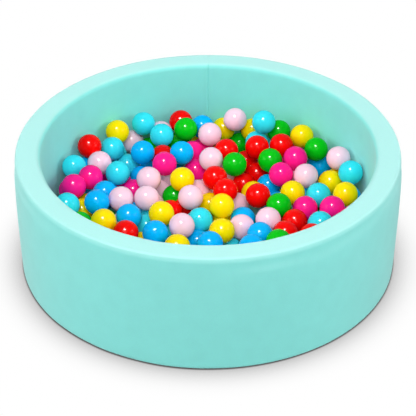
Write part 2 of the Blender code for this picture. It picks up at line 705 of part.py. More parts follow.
class Heap:
    """The balls, those of the bed and the loose ones, and the places where one more would touch some of them."""

    def __init__(self, balls):
        self.middles = np.array([ball["middle"] for ball in balls])
        self.loose = np.array([ball["loose"] for ball in balls])
        self.group = np.arange(len(balls))
        self.places = np.empty((0, 3))
        self.reaches = np.empty((0, len(balls)))

    def wanted(self, index):
        """Facet reach at which a ball of the bed touches this one: pressed into the bed, clear of a loose ball."""
        return np.where(self.loose[index], TOUCH + CLEARANCE, TOUCH - BITE)

    def visible_share(self, middle):
        """How much of a ball here the photograph would show."""
        arm = middle - EYE
        distance = lengths(arm)[0]
        ray = arm / distance
        side = np.array([ray[1], -ray[0], 0.0]) / math.hypot(ray[0], ray[1])
        up = np.cross(side, ray)
        arms = self.middles - EYE
        far = lengths(arms)
        shown = 0
        for step in range(VIEW_SAMPLES):
            angle = 2 * math.pi * step / VIEW_SAMPLES
            out = BALL_RADIUS * SAMPLE_SHARES[step % 2]
            point = middle + out * (math.cos(angle) * side + math.sin(angle) * up) - BALL_RADIUS / 2 * ray
            line = point - EYE
            line = line / lengths(line)[0]
            beside = arms @ line
            aside = np.sqrt(np.maximum(far**2 - beside**2, 0.0))
            covered = ((aside < BALL_RADIUS) & (beside < distance - BALL_RADIUS / 2)).any()
            over_rim = EYE[2] + wall_crossings(line, INNER_RADIUS)[0] * line[2]
            shown += not covered and over_rim > HEIGHT - RIM_ROUND
        return shown / VIEW_SAMPLES

    def inside(self, middle):
        return math.hypot(middle[0], middle[1]) <= WALL_LIMIT and middle[2] >= LOWEST - CLEARANCE / 10

    def leaves_ways_up(self, middle):
        """Whether every loose ball can still be lifted out past a ball here."""
        arms = middle - self.middles
        close = self.loose & (np.hypot(arms[:, 0], arms[:, 1]) < BALL_DIAMETER) & (arms[:, 2] > -BALL_DIAMETER)
        return all(lift_is_clear(self.middles[index], [middle]) for index in np.nonzero(close)[0])

    def leaves_ways_up_but(self, index, middle):
        """The same for a loose ball, whose own way up doesn't count."""
        others = copy.copy(self)
        others.middles = np.delete(self.middles, index, axis=0)
        others.loose = np.delete(self.loose, index)
        return others.leaves_ways_up(middle)

    def allowed(self, reaches):
        """Whether places at these facet reaches from the balls are clear of them, or press into the bed as wanted."""
        loose_clear = (reaches >= TOUCH + CLEARANCE * ROUNDING_SHARE) | ~self.loose
        pressed = (reaches >= TOUCH - 1.5 * BITE) & (reaches <= TOUCH - BITE / 4)
        bed_clear = (reaches >= TOUCH + CLEARANCE / 3) | pressed | self.loose
        return (loose_clear & bed_clear).all(axis=1)

    def fill(self, level):
        """Adds balls at this level where the photograph's own leave room and it would not show them."""
        pitch = BALL_DIAMETER * FILL_GRID_SHARE
        count = int(WALL_LIMIT / pitch) + 1
        for row in range(-count, count + 1):
            for column in range(-count, count + 1):
                drop = BALL_RADIUS / 3 * (len(self.middles) * GOLDEN_SHARE % 1.0)
                middle = np.array([(column + 0.5 * (row % 2)) * pitch, row * pitch, max(level - drop, LOWEST)])
                if not self.inside(middle) or lengths(middle - self.middles).min() < BALL_DIAMETER + CLEARANCE:
                    continue
                if self.leaves_ways_up(middle) and self.visible_share(middle) <= MOST_SHOWN_SHARE:
                    self.add(middle)

    def add(self, middle):
        """Adds a ball of the bed, joined with what it presses on, and drops the places that it takes."""
        reach = facet_reach(middle - self.middles)
        touched = np.nonzero((reach < TOUCH - BITE / 4) & ~self.loose)[0]
        number = len(self.middles)
        self.group = np.append(self.group, number)
        for other in touched:
            self.group[self.group == self.group[other]] = number
        self.middles = np.vstack([self.middles, middle])
        self.loose = np.append(self.loose, False)
        column = facet_reach(self.places - middle) if len(self.places) else np.empty(0)
        self.reaches = np.hstack([self.reaches, column[:, None]])
        if len(self.places):
            self.keep(self.allowed(self.reaches))
            self.find_places([number])

    def keep(self, mask):
        self.places = self.places[mask]
        self.reaches = self.reaches[mask]

    def find_all_places(self):
        self.places = np.empty((0, 3))
        self.reaches = np.empty((0, len(self.middles)))
        self.find_places()

    def find_places(self, firsts=None):
        """Adds the places that touch a ball of this list alone, or with one or two of its neighbours."""
        starts = []
        anchors = []
        whole = firsts is None
        down = np.array([0.0, 0.0, -1.0])
        for first in range(len(self.middles)) if whole else firsts:
            near = np.nonzero(lengths(self.middles - self.middles[first]) < BALL_DIAMETER * JOINING_SHARE)[0]
            near = [other for other in near if other > first or (not whole and other != first)]
            for step in range(ALONE_STEPS):
                angle = 2 * math.pi * step / ALONE_STEPS
                out = np.array([math.cos(angle), math.sin(angle), -1.0 if step % 2 else -0.4])
                starts.append(self.middles[first] + BALL_RADIUS * out)
                anchors.append((first, first, first))
            for place, second in enumerate(near):
                pair = (self.middles[first] + self.middles[second]) / 2
                across = self.middles[second] - self.middles[first]
                side = np.array([-across[1], across[0], 0.0]) / max(math.hypot(across[0], across[1]), CLEARANCE)
                for lean in (-2.0, -1.0, 0.0, 1.0, 2.0):
                    starts.append(pair + BALL_RADIUS * (lean * side + down))
                    anchors.append((first, second, second))
                for third in near[place + 1 :]:
                    if lengths(self.middles[third] - self.middles[second])[0] < BALL_DIAMETER * JOINING_SHARE:
                        trio = (self.middles[first] + self.middles[second] + self.middles[third]) / 3
                        starts.append(trio + BALL_RADIUS * down)
                        anchors.append((first, second, third))
        picked = np.array(anchors).T
        wanted = [self.wanted(column) for column in picked]
        points = meeting_points(np.array(starts), [self.middles[column] for column in picked], wanted)
        held = points[:, 2] >= LOWEST
        held &= np.hypot(points[:, 0], points[:, 1]) <= WALL_LIMIT
        for column, reach in zip(picked, wanted):
            held &= abs(facet_reach(points - self.middles[column]) - reach) < BITE / 20
        points = points[held]
        if not len(points):
            return
        reaches = np.stack([facet_reach(points - middle) for middle in self.middles], axis=1)
        free = self.allowed(reaches)
        self.places = np.vstack([self.places, points[free]])
        self.reaches = np.vstack([self.reaches, reaches[free]])

    def touched(self):
        return (self.reaches < TOUCH - BITE / 4) & ~self.loose

    def groups_touched(self):
        """How many separate groups of the bed each place touches."""
        numbers = np.array(sorted(set(self.group[~self.loose])))
        member = (self.group[:, None] == numbers).astype(float)
        return (self.touched().astype(float) @ member > 0.5).sum(axis=1)

    def unseated(self):
        """The loose balls that rest against nothing yet."""
        found = np.zeros(len(self.middles), bool)
        for index in np.nonzero(self.loose)[0]:
            arms = self.middles[index] - np.delete(self.middles, index, axis=0)
            found[index] = facet_reach(arms).min() > TOUCH + SEAT_SLACK
        return found

    def take_best(self, score):
        """Adds a ball at the place with the best score above zero; a place that can't be used is dropped."""
        while len(score) and score.max() > 0:
            best = int(np.argmax(score))
            middle = self.places[best]
            mask = np.arange(len(score)) != best
            self.keep(mask)
            score = score[mask]
            if self.leaves_ways_up(middle) and self.visible_share(middle) <= MOST_SHOWN_SHARE:
                self.add(middle)
                return True
        return False

    def seat_and_join(self):
        """Adds balls under the heap until every loose ball rests on one and the bed is one piece."""
        self.find_all_places()
        for _ in range(MOST_JOINING):
            waiting = self.unseated()
            served = ((self.reaches < TOUCH + 1.5 * CLEARANCE) & waiting).sum(axis=1)
            joins = self.groups_touched()
            gain = 2.0 * served + np.maximum(joins - 1, 0) * 2.0 + 0.5 * (joins > 0) * (served > 0)
            if self.take_best(gain):
                continue
            if len(set(self.group[~self.loose])) == 1 or not self.reach_out():
                break

    def reach_out(self):
        """Adds a ball that touches the smallest group it can, where a second one can then join it to the rest."""
        numbers = list(self.group[~self.loose])
        for number in sorted(set(numbers), key=lambda one: (numbers.count(one), one)):
            own = (self.group == number) & ~self.loose
            rest = self.middles[(self.group != number) & ~self.loose]
            touching = np.nonzero((self.touched() & own).any(axis=1))[0]
            away = [lengths(rest - self.places[index]).min() for index in touching]
            for index in touching[np.argsort(away, kind="stable")][:MOST_TRIALS]:
                middle = self.places[index]
                if not self.leaves_ways_up(middle) or self.visible_share(middle) > MOST_SHOWN_SHARE:
                    continue
                trial = copy.copy(self)
                trial.add(middle)
                reached = trial.touched() & (trial.group == trial.group[-1])
                if trial.take_best(np.where(reached.any(axis=1), trial.groups_touched() - 1, 0)):
                    self.add(middle)
                    return True
        return False

    def press_single_ones(self):
        """Moves each ball of the bed that is still by itself a little, until it presses on one near it."""
        numbers = list(self.group[~self.loose])
        main = max(sorted(set(numbers)), key=numbers.count)
        for index in np.nonzero(~self.loose & (self.group != main))[0]:
            if numbers.count(self.group[index]) > 1:
                continue
            middle = self.middles[index]
            near = np.argsort(facet_reach(self.middles - middle), kind="stable")
            for other in [one for one in near if self.group[one] == main and not self.loose[one]]:
                arm = middle - self.middles[other]
                moved = self.middles[other] + arm * ((TOUCH - BITE) / facet_reach(arm)[0])
                if lengths(moved - middle)[0] > BALL_DIAMETER * PRESSING_SHARE:
                    break
                reaches = facet_reach(self.middles - moved)
                reaches[index] = np.inf
                if self.inside(moved) and self.allowed(reaches[None])[0] and self.leaves_ways_up(moved):
                    self.middles[index] = moved
                    self.group[index] = main
                    break

    def press_loose_ones(self):
        """Moves each loose ball that rests on nothing yet beside one near it, or lets it fall on one or the floor."""
        for index in np.nonzero(self.unseated())[0]:
            middle = self.middles[index]
            near = np.argsort(facet_reach(self.middles - middle), kind="stable")
            for other in near[1:]:
                arm = middle - self.middles[other]
                moved = self.middles[other] + arm * ((TOUCH + CLEARANCE) / facet_reach(arm)[0])
                if lengths(moved - middle)[0] > BALL_DIAMETER * PRESSING_SHARE:
                    break
                rest = np.delete(self.middles, index, axis=0)
                clear = facet_reach(rest - moved).min() >= TOUCH + CLEARANCE * ROUNDING_SHARE
                if clear and self.inside(moved) and lift_is_clear(moved, rest) and self.leaves_ways_up_but(index, moved):
                    self.middles[index] = moved
                    break
        for index in np.nonzero(self.unseated())[0]:
            rest = np.delete(self.middles, index, axis=0)
            height = self.middles[index][2] - LOWEST
            drops = np.append(np.arange(0.0, height, CLEARANCE), height)
            falling = self.middles[index] - np.outer(drops, [0.0, 0.0, 1.0])
            reaches = np.array([facet_reach(rest - middle).min() for middle in falling])
            met = np.nonzero(reaches < TOUCH + CLEARANCE)[0]
            stop = met[0] - 1 if len(met) else len(drops) - 1
            if stop > 0 and lift_is_clear(falling[stop], rest):
                self.middles[index] = falling[stop]

    def drop_unjoined(self):
        """Leaves out what is still apart from the bed's largest group."""
        numbers = list(self.group[~self.loose])
        main = max(sorted(set(numbers)), key=numbers.count)
        kept = self.loose | (self.group == main)
        self.middles = self.middles[kept]
        self.loose = self.loose[kept]
        self.group = self.group[kept]
        self.find_all_places()
        return int((~kept).sum())

    def add_legs(self):
        """Adds balls on the pit's floor, one in each sector, that carry the bed."""
        for sector in range(LEG_SECTORS):
            low = 2 * math.pi * sector / LEG_SECTORS - math.pi
            high = low + 2 * math.pi / LEG_SECTORS
            bed = self.middles[~self.loose]
            inside = [middle for middle in bed if low <= math.atan2(middle[1], middle[0]) < high]
            for middle in sorted(inside, key=lambda ball: ball[2]):
                if middle[2] < LOWEST + CLEARANCE:
                    break
                leg = self.leg_under(middle)
                if leg is not None:
                    self.add(leg)
                    break

    def leg_under(self, middle):
        """A place on the floor where a ball touches the one at middle from below, or None."""
        for step in range(LEG_STEPS):
            angle = 2 * math.pi * step / LEG_STEPS
            point = middle + BALL_RADIUS * np.array([math.cos(angle), math.sin(angle), 0.0])
            for _ in range(MEETING_TURNS):
                point[2] = LOWEST
                arm = point - middle
                point = middle + arm * ((TOUCH - BITE) / facet_reach(arm)[0])
            point[2] = LOWEST
            touches = abs(facet_reach(point - middle)[0] - TOUCH + BITE) < BITE / 4
            if touches and self.inside(point) and self.allowed(facet_reach(point - self.middles)[None])[0]:
                if self.leaves_ways_up(point):
                    return point
        return None

    def cover_floor(self):
        """Adds balls of the bed where the floor would show most from above."""
        self.find_all_places()
        pitch = BALL_DIAMETER * COVER_GRID_SHARE
        count = int(INNER_RADIUS / pitch)
        spots = [
            (column * pitch, row * pitch)
            for row in range(-count, count + 1)
            for column in range(-count, count + 1)
            if math.hypot(column, row) * pitch < INNER_RADIUS - BALL_RADIUS / 2
        ]
        spots = np.array(spots)
        for middle in self.middles:
            spots = spots[np.hypot(*(spots - middle[:2]).T) > BALL_RADIUS]
        while len(self.middles) < MOST_BALLS and len(spots) and len(self.places):
            joined = self.touched().any(axis=1)
            gain = np.zeros(len(self.places))
            for spot in spots:
                gain += np.hypot(*(self.places[:, :2] - spot).T) < BALL_RADIUS
            before = len(self.middles)
            if not self.take_best(np.where(joined & (gain >= LEAST_COVER), gain, 0.0)):
                break
            if len(self.middles) > before:
                spots = spots[np.hypot(*(spots - self.middles[-1][:2]).T) > BALL_RADIUS]


def ball_mesh(name, middle=(0.0, 0.0, 0.0)):
    return mesh_of(name, BALL_POINTS * BALL_RADIUS + np.array(middle), BALL_FACES)


def whole_heap():
    """The seen balls with their colours, and the finished heap."""
    balls = seen_balls()
    mark_loose(balls)
    settle_loose(balls)
    heap = Heap(balls)
    heap.fill(LEVEL)
    heap.seat_and_join()
    heap.press_single_ones()
    heap.drop_unjoined()
    heap.press_loose_ones()
    heap.add_legs()
    heap.cover_floor()
    return balls, heap


def loose_balls(balls, heap):
    """One solid for each ball that can be lifted out, numbered within its colour, its origin at its middle."""
    counts = dict.fromkeys(BALL_COLOURS, 0)
    colours = [ball["colour"] for ball in balls if ball["loose"]]
    for colour, middle in zip(colours, heap.middles[heap.loose]):
        counts[colour] += 1
        name = f"ball_{colour}_{counts[colour]:02d}"
        surface = material(f"ball_{colour}", BALL_COLOURS[colour], 0.3)
        add_object(name, ball_mesh(name), surface).location = middle


def ball_bed(heap):
    """The balls under and between the loose ones, pressed together into one solid."""
    spots = heap.middles[~heap.loose]
    surface = material("ball_bed", BALL_COLOURS["cyan"], 0.3)
    bed = add_object("ball_bed", ball_mesh("ball_bed", spots[0]), surface)
    others = bpy.data.collections.new("bed_guides")
    bpy.context.scene.collection.children.link(others)
    for number, spot in enumerate(spots[1:]):
        guide = bpy.data.objects.new(f"bed_guide_{number:03d}", ball_mesh("bed_guide", spot))
        guide.hide_render = True
        guide.display_type = "WIRE"
        others.objects.link(guide)
    change = bed.modifiers.new("pressed_together", "BOOLEAN")
    change.operation = "UNION"
    change.solver = "EXACT"
    change.operand_type = "COLLECTION"
    change.collection = others
    return bed


if __name__ == "__main__":
    clear_scene()
    wall_cover()
    wall_foam()
    base_foam()
    floor_cover()
    bottom_panel()
    zip_tapes_and_rows()
    zip_stops()
    zip_slider()
    zip_pull()
    seen, whole = whole_heap()
    loose_balls(seen, whole)
    ball_bed(whole)
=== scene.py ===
"""Looks of a round foam ball pit: a velour cover over foam, a zip underneath, and glossy plastic balls.

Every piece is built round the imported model, in its frame: metres, the floor at z = 0, the pit's middle on the
Z axis and the cover's seam at +Y.
"""

import json
import math

import bmesh
import bpy
import numpy as np
from mathutils import Euler, Matrix, Vector, noise

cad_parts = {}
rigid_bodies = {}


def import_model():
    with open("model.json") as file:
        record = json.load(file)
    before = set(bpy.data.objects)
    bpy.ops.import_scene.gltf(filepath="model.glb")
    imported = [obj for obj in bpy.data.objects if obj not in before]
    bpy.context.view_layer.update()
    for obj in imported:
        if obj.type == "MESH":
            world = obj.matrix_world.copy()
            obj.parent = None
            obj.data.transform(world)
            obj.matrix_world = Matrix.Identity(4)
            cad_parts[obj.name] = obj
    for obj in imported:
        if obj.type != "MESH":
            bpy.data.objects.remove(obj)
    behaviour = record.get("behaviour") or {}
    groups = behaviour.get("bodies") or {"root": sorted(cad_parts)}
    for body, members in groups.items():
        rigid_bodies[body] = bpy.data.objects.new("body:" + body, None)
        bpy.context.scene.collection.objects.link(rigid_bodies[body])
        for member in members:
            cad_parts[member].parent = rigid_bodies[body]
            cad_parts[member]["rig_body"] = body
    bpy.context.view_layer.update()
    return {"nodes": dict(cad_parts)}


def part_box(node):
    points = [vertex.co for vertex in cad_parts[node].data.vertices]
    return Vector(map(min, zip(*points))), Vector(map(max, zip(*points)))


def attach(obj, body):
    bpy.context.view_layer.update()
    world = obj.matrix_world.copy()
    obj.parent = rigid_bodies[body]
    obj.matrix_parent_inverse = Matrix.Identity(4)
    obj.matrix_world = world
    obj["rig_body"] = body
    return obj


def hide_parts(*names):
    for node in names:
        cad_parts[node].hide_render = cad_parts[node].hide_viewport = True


bl_info = {
    "name": "Ball Pit",
    "version": (1, 0, 0),
    "blender": (4, 5, 0),
    "location": "3D Viewport > Sidebar > Ball Pit",
    "description": "Builds the pieces of a round foam ball pit round its packed model",
    "category": "Object",
}

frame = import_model()

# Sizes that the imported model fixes, in metres.
COVER_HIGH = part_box("wall_cover")[1]
FLOOR_LOW, FLOOR_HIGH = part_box("floor_cover")
PAD_LOW, PAD_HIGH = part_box("base_foam")
PANEL_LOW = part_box("bottom_panel")[0]
TAPE_LOW, TAPE_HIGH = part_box("zip_tape_outer")
TEETH_LOW, TEETH_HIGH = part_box("zip_teeth_outer")

# The ring, its hem, which rises towards the zip, and the channel over the hem that holds the zip's tapes.
OUTER_RADIUS = 0.450
INNER_RADIUS = 0.3894
FOAM_INNER_RADIUS = 0.3922
HEM_RADIUS = 0.407
HEM_RISE = 0.0045
HEM_SLOPE = 0.012
FOOT_DRAW_IN = 0.0010
CHANNEL_TOP = 0.0116
CHANNEL_OUTER = 0.4190
CLOTH = 0.0025
HEM_CLEARANCE = CLOTH / 10

# The zip: its circle, its start and run, how far its tapes go on past both ends, and its rows, teeth and
# tapes, measured from the slit between them.
ZIP_RADIUS = 0.400
ZIP_START = math.radians(-30.0)
ZIP_SWEEP = math.radians(240.0)
ZIP_TAIL = math.radians(16.0)
STRIP_LEEWAY = 0.5
ROW_INNER = 0.0012
ROW_OUTER = 0.0034
TOOTH_PITCH = 0.0025
TOOTH_LENGTH = 0.0015
TOOTH_TAPER = 0.3
TAPE_WIDTH = 0.0100
TAPE_REACH = 0.0130

# How finely the pieces are turned, how the foam puffs the cover and how uneven it is. The cover is tight over
# the rim, which leaves only a part of the puff there.
RING_STEPS = 192
PANEL_STEP = 0.012
PUFF_FRAMES = 20
PUFF_PRESSURE = 4.0
RIM_TIGHTNESS = 3
UNEVEN_GRAIN = 9.0
UNEVEN_SEED = 1

# The back seam: how far from it the cloth is cut finer, how steep a wall or a rim is, the share of its depth
# that it is drawn in there, how narrow it is, and the low lip that the drawn cloth throws up beside it.
SEAM_CUTS = (0.0012, 0.0028, 0.0060, 0.0110)
SEAM_REACH = 0.04
SEAM_STEEPNESS = 0.6
SEAM_ON_INSIDE = 1.0
SEAM_ON_RIM = 0.3
SEAM_ON_OUTSIDE = 0.5
SEAM_NARROWNESS = 0.9
SEAM_LIP = 0.22
SEAM_LIP_PLACE = 2.3

# How large each pattern is drawn, in metres, and the mould's ridge as a share of the ball.
PILE_CLOUDS = 0.040
PILE_TUFTS = 0.002
WALL_CHANGES = 0.020
FLOW_MARKS = 0.0025
RUBS_PER_METRE = 900.0
UNDERSIDE_THREAD = 0.0014
TAPE_THREAD = 0.0008
MOULD_RIDGE = 1 / 60
WAVE_RADIANS = 20

# How much darker and paler than its own colour each material gets, and how rough the glossy ones are.
VELOUR_TONES = (0.95, 1.04)
BALL_TONES = (0.96, 1.03)
WEAVE_PAINTED_SHADE_TONES = (0.72, 1.05)
ACETAL_TONES = (0.93, 1.03)
ZINC_TONES = (0.9, 1.05)
BALL_ROUGHNESS = (0.15, 0.18)
ZINC_ROUGHNESS = (0.22, 0.42)

# The velour: how much its tufts darken it, how far the painted light on its rim leans outwards, and how far up
# the surface faces where that painted light starts and where it is full.
TUFT_GRAIN = 0.10
PAINTED_LIGHT_LEAN = 0.3
PAINTED_LIGHT_START = 0.25
PAINTED_LIGHT_FULL = 0.85

# The camera that took the photograph: its lens in pixels of a 416 x 416 frame, and where it stood.
PHOTO_SIZE_PX = 416.0
PHOTO_LENS_PX = 1459.7
PHOTO_MIDDLE_PX = 208.0
SENSOR_MM = 36.0
EYE_DISTANCE = 3.4986
EYE_SLOPE = math.radians(34.248)
AIM_HEIGHT = 0.1223

# The studio's lamps: where each stands from the pit, how far off, its radius, its power in watts and whether
# it only glints. The glint lamp makes the small crisp highlight on each ball and lights nothing else.
LAMPS = (
    ("front_softbox", (0.0, -0.71, 0.71), 8.5, 2.5, 321.0, False),
    ("key_spot", (-0.12, -0.39, 0.912), 7.8, 0.9, 90.0, False),
    ("left_softbox", (-0.875, -0.235, 0.42), 9.0, 2.7, 344.0, False),
    ("right_softbox", (0.875, -0.235, 0.42), 9.0, 2.7, 344.0, False),
    ("glint_lamp", (-0.12, -0.39, 0.912), 7.7, 0.82, 3600.0, True),
)
ROOM_LIGHT = 0.42

# The paper that the pit stands on: how far it reaches, the hole that the pit's foot covers, how far it lies
# under the foot so that the two don't share a plane, how pale it is to the pit, and how wide and how dark its
# painted soft shadow and painted contact line are, which are full where a place sees only that share of the
# sky.
STAGE_RADIUS = 8.0
STAGE_HOLE = 0.443
STAGE_DROP = 0.0003
PAPER_PALENESS = 0.30
SHADE_REACH = 0.105
SHADE_DARKEST = 0.52
SHADED_SKY = 0.5
CONTACT_REACH = 0.005
CONTACT_DARKEST = 0.18
CONTACT_SKY = 0.45

# Colour and middle, in the photograph's pixels, of each ball that shows between and behind the loose ones.
SEEN_RESTING_PX = (
    ("yellow", 224.9, 129.5), ("yellow", 251.8, 133.2), ("green", 279.0, 131.9), ("rose", 132.2, 142.3),
    ("red", 285.3, 233.1), ("rose", 212.4, 159.0), ("pink", 295.2, 158.4), ("rose", 338.4, 158.4),
    ("blue", 179.8, 154.2), ("blue", 144.2, 152.8), ("cyan", 111.4, 148.0), ("red", 257.6, 147.5),
    ("red", 281.3, 145.4), ("cyan", 161.1, 138.8), ("yellow", 301.4, 136.7), ("rose", 210.8, 135.7),
    ("green", 185.7, 129.7), ("cyan", 263.1, 124.1), ("cyan", 143.4, 123.9), ("green", 316.0, 148.5),
    ("rose", 235.4, 119.3), ("yellow", 117.2, 133.2), ("blue", 197.3, 241.7), ("cyan", 200.2, 220.5),
    ("cyan", 146.7, 225.0), ("blue", 242.8, 220.1), ("red", 171.8, 211.8), ("yellow", 209.7, 204.4),
    ("rose", 235.5, 203.3), ("yellow", 82.7, 209.7), ("green", 175.2, 195.8), ("yellow", 252.4, 193.1),
    ("rose", 159.4, 190.7), ("blue", 105.8, 193.2), ("rose", 200.0, 191.0), ("pink", 132.4, 191.1),
    ("blue", 268.4, 186.7), ("red", 244.4, 183.7), ("yellow", 330.1, 182.3), ("blue", 143.0, 177.8),
    ("red", 256.8, 172.9), ("pink", 195.9, 170.3), ("cyan", 74.8, 168.1), ("blue", 318.1, 166.8),
    ("cyan", 126.7, 165.4), ("red", 246.0, 159.3), ("pink", 193.2, 152.8), ("red", 225.6, 152.0),
    ("green", 81.3, 224.7), ("cyan", 229.1, 249.7), ("rose", 160.8, 134.4), ("blue", 84.0, 168.0),
    ("yellow", 220.9, 230.7), ("pink", 64.8, 184.5), ("rose", 130.9, 152.7), ("green", 238.1, 141.5),
    ("blue", 360.7, 193.8), ("cyan", 103.8, 149.7), ("cyan", 267.0, 140.0), ("green", 220.0, 141.0),
    ("pink", 85.3, 146.2), ("green", 148.1, 145.9), ("green", 175.5, 144.0), ("yellow", 196.5, 139.5),
)
# In those pixels: how near a packed ball has to show to be taken for a seen one, at first and then for those
# left over, how near a seen ball gives an unseen one its colour, and how near its middle nothing may hide it.
SEEN_REACH_PX = 4.0
FAR_REACH_PX = 14.0
PEEPING_REACH_PX = 17.0
HIDING_REACH_PX = 16.9
UNSEEN_ORDER = ("blue", "rose", "red", "yellow", "cyan", "pink", "green")
BALL_COLOURS = ("red", "green", "yellow", "blue", "cyan", "pink", "rose")

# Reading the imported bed: how closely facets and middles agree, and the fewest facets that show a ball.
FACET_MATCH = 2e-5
MIDDLE_MATCH = 0.002
LEAST_FACETS = 5

# Adding balls: how closely places are tried, and how hard a new ball may press on its neighbours at first.
SIGHT_STEP = 0.002
MOST_PRESSED = 0.012
FILL_STEP = 0.010
FILL_PRESSED = 0.004

# Easing the balls apart: how often, the share of its way home that a ball goes at first, how much heavier a
# seen ball is, and how high a loose ball is lifted, whose way stays clear.
EASING_ROUNDS = 160
HOMING_SHARE = 0.03
SEEN_WEIGHT = 5.0
LIFT = 0.200
NEXT_TO_NOTHING = 1e-9

# Making balls: how finely they are divided, and how far each is turned and tilted from the one before.
LOOSE_ROUNDNESS = 4
RESTING_ROUNDNESS = 3
TURN_STEP = 2.399
TILT_STEP = 1.171


def linear(code):
    """Linear colour of an sRGB hex code."""
    parts = [int(code[place : place + 2], 16) / 255 for place in (1, 3, 5)]
    return tuple(part / 12.92 if part <= 0.04045 else ((part + 0.055) / 1.055) ** 2.4 for part in parts)


def colour_property(name, description, code):
    return bpy.props.FloatVectorProperty(
        name=name, description=description, default=linear(code), subtype="COLOR", size=3, min=0.0, max=1.0
    )


def length_property(name, description, default):
    return bpy.props.FloatProperty(
        name=name, description=description, default=default, unit="LENGTH", min=0.0
    )


class PitSizes(bpy.types.PropertyGroup):
    rim_fall: length_property("Rim fall", "Height over which the cover leans in to its top", 0.012)
    rim_lean: length_property("Rim lean", "How far the cover leans in there", 0.003)
    rim_round: length_property("Rim rounding", "Radius of the two bends of that lean", 0.004)
    mouth_round: length_property("Mouth rounding", "Radius of the cover's upper inner edge", 0.012)
    foot_round: length_property("Foot rounding", "Radius of the cover's lower outer edge", 0.004)
    belly: length_property("Belly", "How far the ring's outer side swells at half its height", 0.0018)
    puff: length_property("Puff", "Most that the foam swells the cover outwards", 0.0015)
    uneven: length_property("Unevenness", "Most that hand-cut foam strays from a true circle", 0.0006)
    seam_depth: length_property("Seam depth", "How far the back seam is pulled into the foam", 0.0018)
    ball_radius: length_property("Ball radius", "Radius of one plastic ball", 0.030)


class PitColours(bpy.types.PropertyGroup):
    # The cover's colour is for the upright sides and the floor; the rim's is a paler painted light, for a top
    # lit more than the sides.
    cover: colour_property("Cover", "Velour of the sides and the floor, where the pile lies down", "#83E3DC")
    brushed: colour_property("Brushed cover", "Velour of the rim, where the pile stands up", "#A6E7E2")
    underside: colour_property("Underside", "Woven cloth under the pit", "#5E9F99")
    tape: colour_property("Zip tape", "Woven tape of the zip", "#B9DCD8")
    teeth: colour_property("Zip teeth", "Moulded teeth and stops of the zip", "#C9E6E2")
    metal: colour_property("Zip metal", "Slider and pull of the zip", "#C6CACA")
    red: colour_property("Red balls", "Plastic of the red balls", "#F40604")
    green: colour_property("Green balls", "Plastic of the green balls", "#04BE14")
    yellow: colour_property("Yellow balls", "Plastic of the yellow balls", "#FFDE02")
    blue: colour_property("Blue balls", "Plastic of the blue balls", "#02B2FA")
    cyan: colour_property("Cyan balls", "Plastic of the cyan balls", "#32DAEB")
    pink: colour_property("Pink balls", "Plastic of the pink balls", "#FE1B8B")
    rose: colour_property("Rose balls", "Plastic of the pale rose balls", "#F6CCDE")


def sizes():
    return bpy.context.scene.pit_sizes


def colours():
    return bpy.context.scene.pit_colours


# Materials.


def add_node(tree, kind, settings=None, inputs=None):
    """One node with its settings. An input is a value, an output of another node, or a node for its first."""
    node = tree.nodes.new("ShaderNode" + kind)
    for name, value in (settings or {}).items():
        setattr(node, name, value)
    for name, value in (inputs or {}).items():
        if isinstance(value, bpy.types.Node):
            value = value.outputs[0]
        if isinstance(value, bpy.types.NodeSocket):
            tree.links.new(value, node.inputs[name])
        else:
            node.inputs[name].default_value = value
    return node


def material(name, recipe, *details):
    """The material of that name, whose nodes its recipe adds the first time it is asked for."""
    made = bpy.data.materials.get(name)
    if not made:
        made = bpy.data.materials.new(name)
        made.use_nodes = True
        made.node_tree.nodes.clear()
        surface = recipe(made.node_tree, *details)
        add_node(made.node_tree, "OutputMaterial", inputs={"Surface": surface})
    return made


def shaded(colour, share):
    """The colour made lighter or darker by a share, with full opacity."""
    return (*[min(1.0, part * share) for part in colour], 1.0)


def tones(colour, darker, paler):
    """The two colours that a pattern mixes."""
    return {6: shaded(colour, darker), 7: shaded(colour, paler)}


